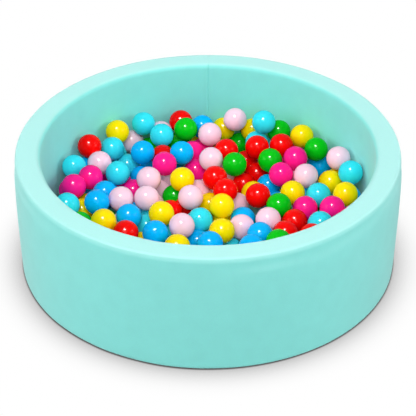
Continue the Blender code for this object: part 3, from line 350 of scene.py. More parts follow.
def velour(tree, colour, brushed):
    """Short-pile polyester velour: matt, with a pale sheen where the pile is seen from the side, and painted
    light that pales its rim.
    """
    place = add_node(tree, "TexCoord").outputs["Object"]
    # Pile lies this way and that in patches 40 mm across, which show as faint clouds.
    clouds = add_node(tree, "TexNoise", inputs={"Vector": place, "Scale": 1 / PILE_CLOUDS, "Detail": 3.0})
    # Tufts are 0.4 mm across; they are drawn at 2 mm so that they show.
    tufts = add_node(tree, "TexNoise", inputs={"Vector": place, "Scale": 1 / PILE_TUFTS, "Detail": 2.0})
    mixed = add_node(tree, "Mix", {"data_type": "RGBA"}, {0: clouds, **tones(colour, *VELOUR_TONES)})
    # Painted light: where the surface faces up, on the rim, the colour is paler, as if lit more than the
    # upright cloth. The mask leans outwards, so the pale part ends early at the mouth and laps over the outer
    # edge.
    normal = add_node(tree, "NewGeometry").outputs["Normal"]
    facing = add_node(tree, "SeparateXYZ", inputs={0: normal})
    level = add_node(tree, "VectorMath", {"operation": "MULTIPLY"}, {0: place, 1: (1.0, 1.0, 0.0)})
    outwards = add_node(tree, "VectorMath", {"operation": "NORMALIZE"}, {0: level})
    leaning = add_node(tree, "VectorMath", {"operation": "DOT_PRODUCT"}, {0: normal, 1: outwards})
    painted_light_facing = add_node(
        tree,
        "Math",
        {"operation": "MULTIPLY_ADD"},
        {0: leaning.outputs["Value"], 1: PAINTED_LIGHT_LEAN, 2: facing.outputs["Z"]},
    )
    # The share of painted light: none on upright cloth, full on the rim.
    upright = add_node(
        tree,
        "MapRange",
        {"interpolation_type": "SMOOTHSTEP"},
        {"Value": painted_light_facing, "From Min": PAINTED_LIGHT_START, "From Max": PAINTED_LIGHT_FULL},
    )
    # Painted light: the paler rim colour mixed over the cloth's own where that share is full.
    pile = add_node(
        tree, "Mix", {"data_type": "RGBA"}, {0: upright, 6: mixed.outputs[2], 7: shaded(brushed, 1.0)}
    )
    grain = add_node(
        tree,
        "Mix",
        {"data_type": "RGBA", "blend_type": "MULTIPLY"},
        {0: TUFT_GRAIN, 6: pile.outputs[2], 7: tufts.outputs["Color"]},
    )
    bump = add_node(tree, "Bump", inputs={"Strength": 0.25, "Distance": 0.0006, "Height": tufts})
    return add_node(
        tree,
        "BsdfPrincipled",
        inputs={
            "Base Color": grain.outputs[2],
            "Roughness": 0.95,
            "Specular IOR Level": 0.15,
            "Sheen Weight": 0.35,
            "Sheen Roughness": 0.5,
            "Normal": bump,
        },
    )


def blown_plastic(tree, colour):
    """Blow-moulded polyethylene: glossy, with the fine ridge where the mould's halves met."""
    place = add_node(tree, "TexCoord").outputs["Object"]
    across = add_node(tree, "UVMap", {"uv_map": "mould"})
    height = add_node(tree, "SeparateXYZ", inputs={"Vector": across})
    from_ridge = add_node(tree, "Math", {"operation": "SUBTRACT"}, {0: height.outputs["Y"], 1: 0.5})
    beside = add_node(tree, "Math", {"operation": "ABSOLUTE"}, {0: from_ridge})
    # The ridge is 0.4 mm wide; it is drawn 1 mm wide, a sixtieth of the ball, so that it shows.
    ridge = add_node(
        tree,
        "MapRange",
        {"interpolation_type": "SMOOTHSTEP"},
        {"Value": beside, "From Max": MOULD_RIDGE, "To Min": 1.0, "To Max": 0.0},
    )
    # The wall's thickness varies over 20 mm, and so does the colour, a little.
    walls = add_node(tree, "TexNoise", inputs={"Vector": place, "Scale": 1 / WALL_CHANGES, "Detail": 1.0})
    mixed = add_node(tree, "Mix", {"data_type": "RGBA"}, {0: walls, **tones(colour, *BALL_TONES)})
    # Play leaves fine rubbed patches, so the gloss isn't even.
    glossiest, dullest = BALL_ROUGHNESS
    rubbed = add_node(tree, "MapRange", inputs={"Value": walls, "To Min": glossiest, "To Max": dullest})
    bump = add_node(tree, "Bump", inputs={"Strength": 0.3, "Distance": 0.0003, "Height": ridge})
    return add_node(
        tree,
        "BsdfPrincipled",
        inputs={
            "Base Color": mixed.outputs[2],
            "Roughness": rubbed,
            "IOR": 1.51,
            "Specular IOR Level": 0.06,
            "Normal": bump,
        },
    )


def plain_weave(tree, colour, thread):
    """Woven polyester: dull threads over and under, with painted light that pales their tops and painted shade
    that darkens the gaps between.
    """
    place = add_node(tree, "TexCoord").outputs["Object"]
    # A wave texture turns 20 radians in each metre at a scale of 1, and each thread is one whole turn.
    scale = 2 * math.pi / thread / WAVE_RADIANS
    waves = [
        add_node(
            tree,
            "TexWave",
            {"wave_type": "BANDS", "bands_direction": way},
            {"Vector": place, "Scale": scale, "Distortion": 0.0},
        ).outputs["Fac"]
        for way in ("X", "Y")
    ]
    weave = add_node(tree, "Math", {"operation": "MAXIMUM"}, {0: waves[0], 1: waves[1]})
    # Painted shade in the gaps between threads and painted light on their tops.
    mixed = add_node(tree, "Mix", {"data_type": "RGBA"}, {0: weave, **tones(colour, *WEAVE_PAINTED_SHADE_TONES)})
    bump = add_node(tree, "Bump", inputs={"Strength": 0.4, "Distance": 0.0003, "Height": weave})
    return add_node(
        tree, "BsdfPrincipled", inputs={"Base Color": mixed.outputs[2], "Roughness": 0.8, "Normal": bump}
    )


def moulded_plastic(tree, colour):
    """Injection-moulded acetal: hard and smooth, with a satin shine and faint flow marks 2.5 mm apart."""
    place = add_node(tree, "TexCoord").outputs["Object"]
    flow = add_node(tree, "TexNoise", inputs={"Vector": place, "Scale": 1 / FLOW_MARKS, "Detail": 2.0})
    mixed = add_node(tree, "Mix", {"data_type": "RGBA"}, {0: flow, **tones(colour, *ACETAL_TONES)})
    bump = add_node(tree, "Bump", inputs={"Strength": 0.1, "Distance": 0.0001, "Height": flow})
    return add_node(
        tree,
        "BsdfPrincipled",
        inputs={"Base Color": mixed.outputs[2], "Roughness": 0.35, "IOR": 1.48, "Normal": bump},
    )


def plated_zinc(tree, colour):
    """Die-cast zinc with a nickel plate: bright, with rubs of a fine grit, drawn about 1 mm apart to show."""
    place = add_node(tree, "TexCoord").outputs["Object"]
    rubs = add_node(tree, "TexNoise", inputs={"Vector": place, "Scale": RUBS_PER_METRE, "Detail": 3.0})
    glossiest, dullest = ZINC_ROUGHNESS
    rubbed = add_node(tree, "MapRange", inputs={"Value": rubs, "To Min": glossiest, "To Max": dullest})
    mixed = add_node(tree, "Mix", {"data_type": "RGBA"}, {0: rubs, **tones(colour, *ZINC_TONES)})
    return add_node(
        tree, "BsdfPrincipled", inputs={"Base Color": mixed.outputs[2], "Metallic": 1.0, "Roughness": rubbed}
    )


def studio_paper(tree):
    """White paper: it lights the pit a little, and the camera sees it white but for a painted shadow round the
    foot.

    It can't be seen from below, so that the zip and the underside show from there.
    """
    ray = add_node(tree, "LightPath")
    paper = add_node(
        tree,
        "BsdfPrincipled",
        inputs={"Base Color": shaded([PAPER_PALENESS] * 3, 1.0), "Roughness": 0.9, "Specular IOR Level": 0.0},
    )
    # A painted soft shadow, from how much of the sky each place sees: a half at the wall's foot, and all of it
    # a hand's breadth away.
    sky = add_node(tree, "AmbientOcclusion", {"samples": 16}, {"Distance": SHADE_REACH})
    covered = add_node(tree, "Math", {"operation": "SUBTRACT"}, {0: 1.0, 1: sky.outputs["AO"]})
    squared = add_node(tree, "Math", {"operation": "POWER"}, {0: covered, 1: 2.0})
    painted_soft_shadow = add_node(
        tree,
        "MapRange",
        inputs={"Value": squared, "From Max": (1 - SHADED_SKY) ** 2, "To Min": 1.0, "To Max": SHADE_DARKEST},
    )
    # A painted contact shadow: the dark line where the cover meets the paper.
    near = add_node(tree, "AmbientOcclusion", {"samples": 16}, {"Distance": CONTACT_REACH})
    painted_contact_shadow = add_node(
        tree,
        "MapRange",
        inputs={"Value": near.outputs["AO"], "From Min": CONTACT_SKY, "To Min": CONTACT_DARKEST},
    )
    # The camera sees the paper white, darkened by both painted shadows.
    painted_shadows = add_node(tree, "Math", {"operation": "MULTIPLY"}, {0: painted_soft_shadow, 1: painted_contact_shadow})
    white = add_node(tree, "Emission", inputs={"Strength": painted_shadows})
    above = add_node(tree, "MixShader", inputs={0: ray.outputs["Is Camera Ray"], 1: paper, 2: white})
    clear = add_node(tree, "BsdfTransparent")
    side = add_node(tree, "NewGeometry")
    return add_node(tree, "MixShader", inputs={0: side.outputs["Backfacing"], 1: above, 2: clear})


# Shapes.


def put_in_order(shape):
    """Sorts edges and faces by their corners: the operators leave them in another order each run."""
    shape.verts.index_update()
    count = len(shape.verts)

    def place(part):
        corners = sorted(vert.index for vert in part.verts)
        return sum(corner * count ** (2 - rank) for rank, corner in enumerate(corners[:3]))

    for parts in (shape.edges, shape.faces):
        parts.sort(key=place)
        parts.index_update()


def finished(name, shape, surface, smooth=True):
    """The bmesh as an object at the origin, with its material."""
    put_in_order(shape)
    mesh = bpy.data.meshes.new(name)
    shape.to_mesh(mesh)
    shape.free()
    mesh.materials.append(surface)
    if smooth:
        mesh.shade_smooth()
    obj = bpy.data.objects.new(name, mesh)
    bpy.context.scene.collection.objects.link(obj)
    return obj


def outline(points, corners, closed):
    """One upright outline at the pit's back, with the named corners rounded and its long sides divided."""
    shape = bmesh.new()
    verts = [shape.verts.new((0.0, radius, height)) for radius, height in points]
    pairs = list(zip(verts, verts[1:])) + ([(verts[-1], verts[0])] if closed else [])
    for first, last in pairs:
        shape.edges.new((first, last))
    for place, radius in corners.items():
        bmesh.ops.bevel(
            shape, geom=[verts[place]], offset=radius, segments=4, profile=0.5, affect="VERTICES", material=-1
        )
    for edge in list(shape.edges):
        cuts = int(edge.calc_length() / PANEL_STEP)
        if cuts:
            bmesh.ops.subdivide_edges(shape, edges=[edge], cuts=cuts)
    return shape


def turned_round(shape):
    """The outline turned once round the Z axis and closed."""
    bmesh.ops.spin(
        shape,
        geom=list(shape.verts) + list(shape.edges),
        cent=(0.0, 0.0, 0.0),
        axis=(0.0, 0.0, 1.0),
        angle=2 * math.pi,
        steps=RING_STEPS,
        use_merge=True,
    )
    bmesh.ops.remove_doubles(shape, verts=shape.verts, dist=1e-5)
    bmesh.ops.recalc_face_normals(shape, faces=shape.faces)
    return shape


def puff_out(obj, held, cap):
    """Foam presses the cloth outwards: a short cloth run, whose result is applied. Held points stay put."""
    scene = bpy.context.scene
    rest = np.array([vert.co for vert in obj.data.vertices])
    group = obj.vertex_groups.new(name="held")
    group.add(held, 1.0, "REPLACE")
    cloth = obj.modifiers.new("foam_pressure", "CLOTH")
    cloth.settings.use_pressure = True
    cloth.settings.uniform_pressure_force = PUFF_PRESSURE
    cloth.settings.effector_weights.gravity = 0.0
    cloth.settings.vertex_group_mass = group.name
    cloth.settings.quality = 4
    for step in range(1, PUFF_FRAMES + 1):
        scene.frame_set(step)
    shown = obj.evaluated_get(bpy.context.evaluated_depsgraph_get())
    moved = np.array([vert.co for vert in shown.data.vertices]) - rest
    obj.modifiers.remove(cloth)
    obj.vertex_groups.clear()
    scene.frame_set(1)
    reach = np.linalg.norm(moved, axis=1)
    scale = np.minimum(1.0, cap / np.maximum(reach, NEXT_TO_NOTHING))
    pressed = rest + moved * scale[:, None]
    # Nothing is pressed lower than the cloth lay: it stands on the floor.
    pressed[:, 2] = np.maximum(pressed[:, 2], rest[:, 2].min())
    for vert, place in zip(obj.data.vertices, pressed):
        vert.co = place
    obj.data.update()


def smooth_out(obj):
    """One level of subdivision."""
    rounder = obj.modifiers.new("rounder", "SUBSURF")
    rounder.levels = 1
    rounder.render_levels = 1


def pull_seam(obj, depth):
    """The cover's one upright seam, at the back: the cloth is cut finer there and its stitches draw it in."""
    shape = bmesh.new()
    shape.from_mesh(obj.data)
    for cut in SEAM_CUTS:
        for side in (-cut, cut):
            middles = [(face, face.calc_center_median()) for face in shape.faces]
            near = [face for face, middle in middles if middle.y > 0.0 and abs(middle.x) < SEAM_REACH]
            around = dict.fromkeys(part for face in near for part in (*face.verts, *face.edges))
            bmesh.ops.bisect_plane(
                shape, geom=[*near, *around], plane_co=(side, 0.0, 0.0), plane_no=(1.0, 0.0, 0.0)
            )
    shape.normal_update()
    for vert in shape.verts:
        if vert.co.y < 0.0 or abs(vert.co.x) > SEAM_CUTS[-1] or vert.co.z < FLOOR_LOW.z:
            continue
        facing = vert.normal
        if facing.y < -SEAM_STEEPNESS:
            share = SEAM_ON_INSIDE
        elif facing.z > SEAM_STEEPNESS:
            share = SEAM_ON_RIM
        else:
            share = SEAM_ON_OUTSIDE
        beside = abs(vert.co.x) / SEAM_CUTS[0]
        lip = SEAM_LIP * math.exp(-((beside - SEAM_LIP_PLACE) ** 2))
        vert.co += facing * (-depth * share * (math.exp(-beside * beside * SEAM_NARROWNESS) - lip))
    shape.to_mesh(obj.data)
    shape.free()


def swell(obj, most):
    """The foam ring pushes the cover's outer side out, most at half its height."""
    for vert in obj.data.vertices:
        if vert.co.xy.length > OUTER_RADIUS - 2 * sizes().foot_round:
            share = math.sin(math.pi * min(max(vert.co.z / COVER_HIGH.z, 0.0), 1.0))
            vert.co.xy += vert.co.xy.normalized() * most * share


def stray(obj, most):
    """Hand-cut foam is never quite true: every point strays a little, out or in and up or down."""
    noise.seed_set(UNEVEN_SEED)
    for vert in obj.data.vertices:
        way = noise.noise_vector(vert.co * UNEVEN_GRAIN)
        out = Vector((vert.co.x, vert.co.y, 0.0)).normalized()
        up = Vector((0.0, 0.0, way.z * most if vert.co.z > FLOOR_HIGH.z else 0.0))
        vert.co += out * way.x * most + up


def settled_ball(shape, middle, number, radius, layer, roundness):
    """One ball, turned its own way, with how high each point lies between the mould's two halves."""
    turned = Euler((number * TURN_STEP, number * TILT_STEP, 0.0)).to_matrix()
    made = bmesh.ops.create_icosphere(
        shape, subdivisions=roundness, radius=radius, matrix=Matrix.Translation(middle) @ turned.to_4x4()
    )
    axis = turned @ Vector((0.0, 0.0, 1.0))
    for face in {face for vert in made["verts"] for face in vert.link_faces}:
        for loop in face.loops:
            height = (loop.vert.co - middle).dot(axis) / (2 * radius)
            loop[layer].uv = (0.0, 0.5 + height)
        face.smooth = True


def ball_piece(name, middles, colour, roundness):
    shape = bmesh.new()
    layer = shape.loops.layers.uv.new("mould")
    for number, middle in middles:
        settled_ball(shape, Vector(middle), number, sizes().ball_radius, layer, roundness)
    surface = material(f"{colour}_polyethylene", blown_plastic, getattr(colours(), colour))
    return finished(name, shape, surface, smooth=False)


def loose_names():
    """Nodes of the balls that can be lifted out."""
    return sorted(name for name in frame["nodes"] if name.startswith("ball_") and name != "ball_bed")


def loose_middle(name):
    low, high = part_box(name)
    return (low + high) / 2


def facet_corners(name):
    """The three corners of every facet of a node."""
    mesh = frame["nodes"][name].data
    mesh.calc_loop_triangles()
    points = np.array([vert.co for vert in mesh.vertices], float)
    return points[np.array([tri.vertices for tri in mesh.loop_triangles])]


def side_lengths(corners):
    return np.sort(np.linalg.norm(corners - np.roll(corners, 1, axis=1), axis=2), axis=1)


def resting_middles():
    """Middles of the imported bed's balls: each whole facet lies straight outside the middle of its ball.

    A loose ball shows how long a whole facet's sides are, and how far its corners are from the ball's middle.
    """
    sample = facet_corners(loose_names()[0])[:1]
    reach = np.linalg.norm(sample[0, 0] - np.array(loose_middle(loose_names()[0])))
    corners = facet_corners("ball_bed")
    whole = corners[np.abs(side_lengths(corners) - side_lengths(sample)).max(axis=1) < FACET_MATCH]
    # From a facet's first corner to the middle of the circle through all three, and from there to the ball's.
    first, second = whole[:, 1] - whole[:, 0], whole[:, 2] - whole[:, 0]
    normal = np.cross(first, second)
    size = np.linalg.norm(normal, axis=1)[:, None]
    offset = (
        np.cross(normal, first) * (second**2).sum(axis=1)[:, None]
        + np.cross(second, normal) * (first**2).sum(axis=1)[:, None]
    ) / (2 * size**2)
    height = np.sqrt(reach**2 - (offset**2).sum(axis=1))[:, None]
    votes = whole[:, 0] + offset - normal / size * height
    found = []
    while len(votes):
        near = np.linalg.norm(votes - votes[0], axis=1) < MIDDLE_MATCH
        if near.sum() >= LEAST_FACETS:
            found.append(votes[near].mean(axis=0))
        votes = votes[~near]
    return np.array(found)


def beside_lifts(places, loose):
    """From the nearest point of each loose ball's way up to each place."""
    arms = places[:, None] - loose[None]
    arms[..., 2] -= np.clip(arms[..., 2], 0.0, LIFT)
    return arms


def room_left(places, resting, loose, radius):
    """How far a ball at each place would stay clear of the others, the ways up, the floor and the wall."""
    gaps = [
        np.linalg.norm(places[:, None] - resting[None], axis=2).min(axis=1) - 2 * radius,
        np.linalg.norm(beside_lifts(places, loose), axis=2).min(axis=1) - 2 * radius,
        places[:, 2] - FLOOR_HIGH.z - radius,
        INNER_RADIUS - radius - np.linalg.norm(places[:, :2], axis=1),
    ]
    return np.min(gaps, axis=0)


def eased_apart(resting, weights, loose, radius):
    """The resting balls moved a little, the lighter ones more, so that none presses another or bars a way."""
    home = resting.copy()
    lowest = FLOOR_HIGH.z + radius
    widest = INNER_RADIUS - radius
    give = weights[None] / (weights[:, None] + weights[None])
    for turn in range(EASING_ROUNDS):
        resting = resting + (home - resting) * HOMING_SHARE * (1 - turn / EASING_ROUNDS)
        for arms, share in ((resting[:, None] - resting[None], give), (beside_lifts(resting, loose), 1.0)):
            apart = np.linalg.norm(arms, axis=2)
            apart[apart < NEXT_TO_NOTHING] = 1.0
            short = np.clip(2 * radius - apart, 0.0, None) * share
            resting = resting + (arms / apart[..., None] * short[..., None]).sum(axis=1)
        resting[:, 2] = np.maximum(resting[:, 2], lowest)
        out = np.linalg.norm(resting[:, :2], axis=1)
        resting[:, :2] *= np.minimum(1.0, widest / np.maximum(out, NEXT_TO_NOTHING))[:, None]
    return resting


def eye():
    return Vector((0.0, -EYE_DISTANCE * math.cos(EYE_SLOPE), EYE_DISTANCE * math.sin(EYE_SLOPE) + AIM_HEIGHT))


def in_photo(point):
    """Where a point shows in the photograph, in its pixels."""
    arm = Vector(point) - eye()
    ahead = arm.y * math.cos(EYE_SLOPE) - arm.z * math.sin(EYE_SLOPE)
    above = arm.y * math.sin(EYE_SLOPE) + arm.z * math.cos(EYE_SLOPE)
    return PHOTO_MIDDLE_PX + PHOTO_LENS_PX * arm.x / ahead, PHOTO_MIDDLE_PX - PHOTO_LENS_PX * above / ahead


def sight_line(x_px, y_px):
    """The direction from the eye through a pixel of the photograph."""
    x = (x_px - PHOTO_MIDDLE_PX) / PHOTO_LENS_PX
    y = (PHOTO_MIDDLE_PX - y_px) / PHOTO_LENS_PX
    ahead = Vector((0.0, math.cos(EYE_SLOPE), -math.sin(EYE_SLOPE)))
    above = Vector((0.0, math.sin(EYE_SLOPE), math.cos(EYE_SLOPE)))
    return (ahead + Vector((x, 0.0, 0.0)) + y * above).normalized()


def seen_matches(middles, reach, known):
    """The known matches, and for each other seen ball the nearest packed one that shows within reach."""
    pairs = []
    for number, middle in enumerate(middles):
        x, y = in_photo(middle)
        for seen, (_, x_px, y_px) in enumerate(SEEN_RESTING_PX):
            off = math.hypot(x_px - x, y_px - y)
            if off < reach:
                pairs.append((off, seen, number))
    matches = dict(known)
    for _, seen, number in sorted(pairs):
        if seen not in matches and number not in matches.values():
            matches[seen] = number
    return matches


def on_sight_line(x_px, y_px, resting, loose, radius):
    """Where on a sight line, within the heap, a ball has most room, or None where it has too little."""
    way = np.array(sight_line(x_px, y_px))
    start = np.array(eye())
    top, floor = loose[:, 2].max(), FLOOR_HIGH.z + radius
    along = np.arange((top - start[2]) / way[2], (floor - start[2]) / way[2], SIGHT_STEP)
    places = start + along[:, None] * way
    room = room_left(places, resting, loose, radius)
    best = int(np.argmax(room))
    return places[best] if room[best] > -MOST_PRESSED else None


def hides_seen(places, seen):
    """Whether a ball at each place would stand before the middle of a ball that the photograph shows."""
    shown = np.array([in_photo(middle) for middle in seen])
    start = np.array(eye())
    far = np.linalg.norm(seen - start, axis=1)
    hidden = np.zeros(len(places), bool)
    for number, place in enumerate(places):
        beside = np.linalg.norm(shown - np.array(in_photo(place)), axis=1) < HIDING_REACH_PX
        hidden[number] = (beside & (far > np.linalg.norm(place - start))).any()
    return hidden


def filled_up(resting, seen, loose, radius):
    """More balls, from the top down, where one fits nearly free and hides none that the photograph shows."""
    reach = INNER_RADIUS - radius
    across = np.arange(-reach, reach, FILL_STEP)
    heights = np.arange(loose[:, 2].max() - radius / 2, FLOOR_HIGH.z + radius, -FILL_STEP)
    level = [(x, y) for y in across for x in across if math.hypot(x, y) < reach]
    places = np.array([(x, y, z) for z in heights for x, y in level])
    room = room_left(places, resting, loose, radius)
    places = places[room > -FILL_PRESSED]
    places = places[~hides_seen(places, seen)]
    added = []
    while len(places):
        added.append(places[0])
        places = places[np.linalg.norm(places - places[0], axis=1) > 2 * radius - FILL_PRESSED]
    return np.array(added)


def whole_heap(packed, loose, radius):
    """Middles and colours of all resting balls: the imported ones, those seen besides, and the filling."""
    matches = seen_matches(packed, SEEN_REACH_PX, {})
    resting = packed.copy()
    for seen, (_, x_px, y_px) in enumerate(SEEN_RESTING_PX):
        place = None if seen in matches else on_sight_line(x_px, y_px, resting, loose, radius)
        if place is not None:
            matches[seen] = len(resting)
            resting = np.vstack([resting, place])
    matches = seen_matches(packed, FAR_REACH_PX, matches)
    colour_of = {number: SEEN_RESTING_PX[seen][0] for seen, number in matches.items()}
    shown = np.vstack([resting[sorted(colour_of)], loose])
    more = filled_up(resting, shown, loose, radius)
    resting = np.vstack([resting, more])
    weights = np.array([SEEN_WEIGHT if number in colour_of else 1.0 for number in range(len(resting))])
    eased = eased_apart(resting, weights, loose, radius)
    picked = [colour_of.get(number) or nearby_colour(middle, number) for number, middle in enumerate(eased)]
    return eased, picked


def nearby_colour(middle, number):
    """The colour that the photograph shows where a ball would peep out, or else the next of the seven."""
    x, y = in_photo(middle)
    off, colour = min((math.hypot(x_px - x, y_px - y), colour) for colour, x_px, y_px in SEEN_RESTING_PX)
    return colour if off < PEEPING_REACH_PX else UNSEEN_ORDER[number % len(UNSEEN_ORDER)]


def strip_shape(inner, outer, low, high, start, sweep):
    """A flat strip round the zip, with its run and its width as a UV map."""
    shape = bmesh.new()
    layer = shape.loops.layers.uv.new("strip")
    corners = [(inner, low), (outer, low), (outer, high), (inner, high)]
    turn = Matrix.Rotation(start, 3, "Z")
    face = shape.faces.new([shape.verts.new(turn @ Vector((radius, 0.0, z))) for radius, z in corners])
    bmesh.ops.spin(
        shape,
        geom=[face, *face.verts, *face.edges],
        cent=(0.0, 0.0, 0.0),
        axis=(0.0, 0.0, 1.0),
        angle=sweep,
        steps=RING_STEPS,
    )
    bmesh.ops.recalc_face_normals(shape, faces=shape.faces)
    for side in shape.faces:
        for loop in side.loops:
            place = loop.vert.co
            angle = (math.atan2(place.y, place.x) - start + STRIP_LEEWAY) % (2 * math.pi) - STRIP_LEEWAY
            loop[layer].uv = (angle * ZIP_RADIUS, place.xy.length - inner)
    return shape


# Operators.


class PIT_OT_wall(bpy.types.Operator):
    """Make the padded ring in its velour cover."""

    bl_idname = "pit.wall"
    bl_label = "Padded ring"

    def execute(self, context):
        puff = sizes().puff
        foot = OUTER_RADIUS - FOOT_DRAW_IN
        top = COVER_HIGH.z - puff / RIM_TIGHTNESS
        points = [
            (HEM_RADIUS, HEM_RISE),
            (HEM_RADIUS + HEM_SLOPE, 0.0),
            (foot, 0.0),
            (OUTER_RADIUS, COVER_HIGH.z - sizes().rim_fall),
            (OUTER_RADIUS - sizes().rim_lean, top),
            (INNER_RADIUS + puff, top),
            (INNER_RADIUS + puff, FLOOR_LOW.z),
            (FOAM_INNER_RADIUS, FLOOR_LOW.z - CLOTH),
            (FOAM_INNER_RADIUS, CHANNEL_TOP),
            (CHANNEL_OUTER, CHANNEL_TOP),
            (HEM_RADIUS + CLOTH, HEM_RISE + CLOTH),
        ]
        corners = {2: sizes().foot_round, 3: sizes().rim_round, 4: sizes().rim_round, 5: sizes().mouth_round}
        shape = turned_round(outline(points, corners, closed=True))
        cloth = material("mint_velour", velour, colours().cover, colours().brushed)
        ring = finished("padded_ring", shape, cloth)
        swell(ring, sizes().belly)
        stray(ring, sizes().uneven)
        held = [
            vert.index for vert in ring.data.vertices
            if vert.co.z < FLOOR_HIGH.z and vert.co.xy.length < foot - sizes().foot_round
        ]
        puff_out(ring, held, puff)
        pull_seam(ring, sizes().seam_depth)
        smooth_out(ring)
        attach(ring, "pit")
        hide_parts("wall_cover", "wall_foam")
        return {"FINISHED"}


class PIT_OT_floor(bpy.types.Operator):
    """Make the padded floor inside the ring."""

    bl_idname = "pit.floor"
    bl_label = "Padded floor"

    def execute(self, context):
        puff = sizes().puff
        bed = PAD_LOW.z
        edge = INNER_RADIUS - CLOTH / 2
        points = [
            (0.0, bed),
            (PAD_HIGH.y - HEM_SLOPE, bed),
            (PAD_HIGH.y, CHANNEL_TOP),
            (PAD_HIGH.y, PAD_HIGH.z),
            (edge, PAD_HIGH.z),
            (edge, FLOOR_HIGH.z - puff),
            (0.0, FLOOR_HIGH.z - puff),
        ]
        shape = turned_round(outline(points, {5: CLOTH}, closed=False))
        cloth = material("mint_velour", velour, colours().cover, colours().brushed)
        pad = finished("padded_floor", shape, cloth)
        held = [vert.index for vert in pad.data.vertices if vert.co.z < PAD_HIGH.z]
        puff_out(pad, held, puff)
        smooth_out(pad)
        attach(pad, "pit")
        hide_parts("floor_cover", "base_foam")
        return {"FINISHED"}


class PIT_OT_underside(bpy.types.Operator):
    """Make the woven cloth under the pit, whose edge rises to the zip."""

    bl_idname = "pit.underside"
    bl_label = "Underside cloth"

    def execute(self, context):
        inner = 2 * ZIP_RADIUS - HEM_RADIUS
        middle = PANEL_LOW.z + CLOTH / 2
        points = [(0.0, middle), (inner - HEM_SLOPE, middle), (inner, HEM_RISE + CLOTH / 2)]
        shape = turned_round(outline(points, {}, closed=False))
        for vert in shape.verts:
            if vert.co.xy.length < inner - CLOTH:
                continue
            past = (math.atan2(vert.co.y, vert.co.x) - ZIP_START + ZIP_TAIL) % (2 * math.pi)
            if past > ZIP_SWEEP + 2 * ZIP_TAIL:
                vert.co.xy = vert.co.xy.normalized() * (HEM_RADIUS - HEM_CLEARANCE)
        for face in shape.faces:
            if face.normal.z < 0.0:
                face.normal_flip()
        bmesh.ops.translate(shape, verts=shape.verts, vec=(0.0, 0.0, CLOTH / 2))
        bmesh.ops.solidify(shape, geom=list(shape.faces), thickness=CLOTH)
        bmesh.ops.recalc_face_normals(shape, faces=shape.faces)
        weave = material("underside_weave", plain_weave, colours().underside, UNDERSIDE_THREAD)
        cloth = finished("underside_cloth", shape, weave)
        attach(cloth, "pit")
        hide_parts("bottom_panel")
        return {"FINISHED"}


class PIT_OT_zip(bpy.types.Operator):
    """Make the zip's tapes and teeth, and finish its stops, slider and pull."""

    bl_idname = "pit.zip"
    bl_label = "Zip"

    def execute(self, context):
        tape = material("zip_tape_weave", plain_weave, colours().tape, TAPE_THREAD)
        plastic = material("zip_acetal", moulded_plastic, colours().teeth)
        metal = material("zip_plated_zinc", plated_zinc, colours().metal)
        start, sweep = ZIP_START - ZIP_TAIL, ZIP_SWEEP + 2 * ZIP_TAIL
        for side, name in ((1, "outer"), (-1, "inner")):
            edges = sorted(ZIP_RADIUS + side * reach for reach in (TAPE_REACH - TAPE_WIDTH, TAPE_REACH))
            shape = strip_shape(*edges, TAPE_LOW.z, TAPE_HIGH.z, start, sweep)
            strip = finished(f"tape_{name}", shape, tape, smooth=False)
            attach(strip, "pit")
            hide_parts(f"zip_tape_{name}")
            row = self.teeth(name, side, plastic)
            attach(row, "pit")
            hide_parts(f"zip_teeth_{name}")
        for name in ("zip_stop_start", "zip_stop_end"):
            frame["nodes"][name].material_slots[0].material = plastic
        for name in ("zip_slider", "zip_pull"):
            frame["nodes"][name].material_slots[0].material = metal
        return {"FINISHED"}

    def teeth(self, name, side, plastic):
        """One row of moulded teeth, half a tooth out of step with the other and thinner at the slit."""
        shape = bmesh.new()
        reach = ROW_OUTER - ROW_INNER
        middle = ROW_INNER + reach / 2
        count = int(ZIP_SWEEP * ZIP_RADIUS / TOOTH_PITCH)
        size = Matrix.Diagonal((reach, TOOTH_LENGTH, TEETH_HIGH.z - TEETH_LOW.z, 1.0))
        place = Vector((ZIP_RADIUS + side * middle, 0.0, (TEETH_HIGH.z + TEETH_LOW.z) / 2))
        for number in range(count):
            turn = Matrix.Rotation(ZIP_START + ZIP_SWEEP * (number + 0.5 + side / 4) / count, 4, "Z")
            made = bmesh.ops.create_cube(shape, size=1.0, matrix=turn @ Matrix.Translation(place) @ size)
            for vert in made["verts"]:
                if side * (vert.co.xy.length - ZIP_RADIUS) < middle:
                    vert.co.z += (place.z - vert.co.z) * TOOTH_TAPER
        return finished(f"teeth_{name}", shape, plastic, smooth=False)


class PIT_OT_loose_balls(bpy.types.Operator):
    """Make every ball that can be lifted out, each on its own body."""

    bl_idname = "pit.loose_balls"
    bl_label = "Loose balls"

    def execute(self, context):
        for number, name in enumerate(loose_names()):
            colour = name.split("_")[1]
            own = [(number, loose_middle(name))]
            ball = ball_piece(f"{colour}_ball_{name.split('_')[2]}", own, colour, LOOSE_ROUNDNESS)
            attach(ball, frame["nodes"][name]["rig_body"])
            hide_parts(name)
        return {"FINISHED"}


class PIT_OT_resting_balls(bpy.types.Operator):
    """Make the balls under and between the loose ones, one piece for each colour."""

    bl_idname = "pit.resting_balls"
    bl_label = "Resting balls"

    def execute(self, context):
        loose = np.array([loose_middle(name) for name in loose_names()])
        eased, picked = whole_heap(resting_middles(), loose, sizes().ball_radius)
        first = len(loose)
        for colour in BALL_COLOURS:
            own = [(first + number, place) for number, place in enumerate(eased) if picked[number] == colour]
            balls = ball_piece(f"resting_balls_{colour}", own, colour, RESTING_ROUNDNESS)
            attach(balls, "pit")
            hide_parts("ball_bed")
        return {"FINISHED"}


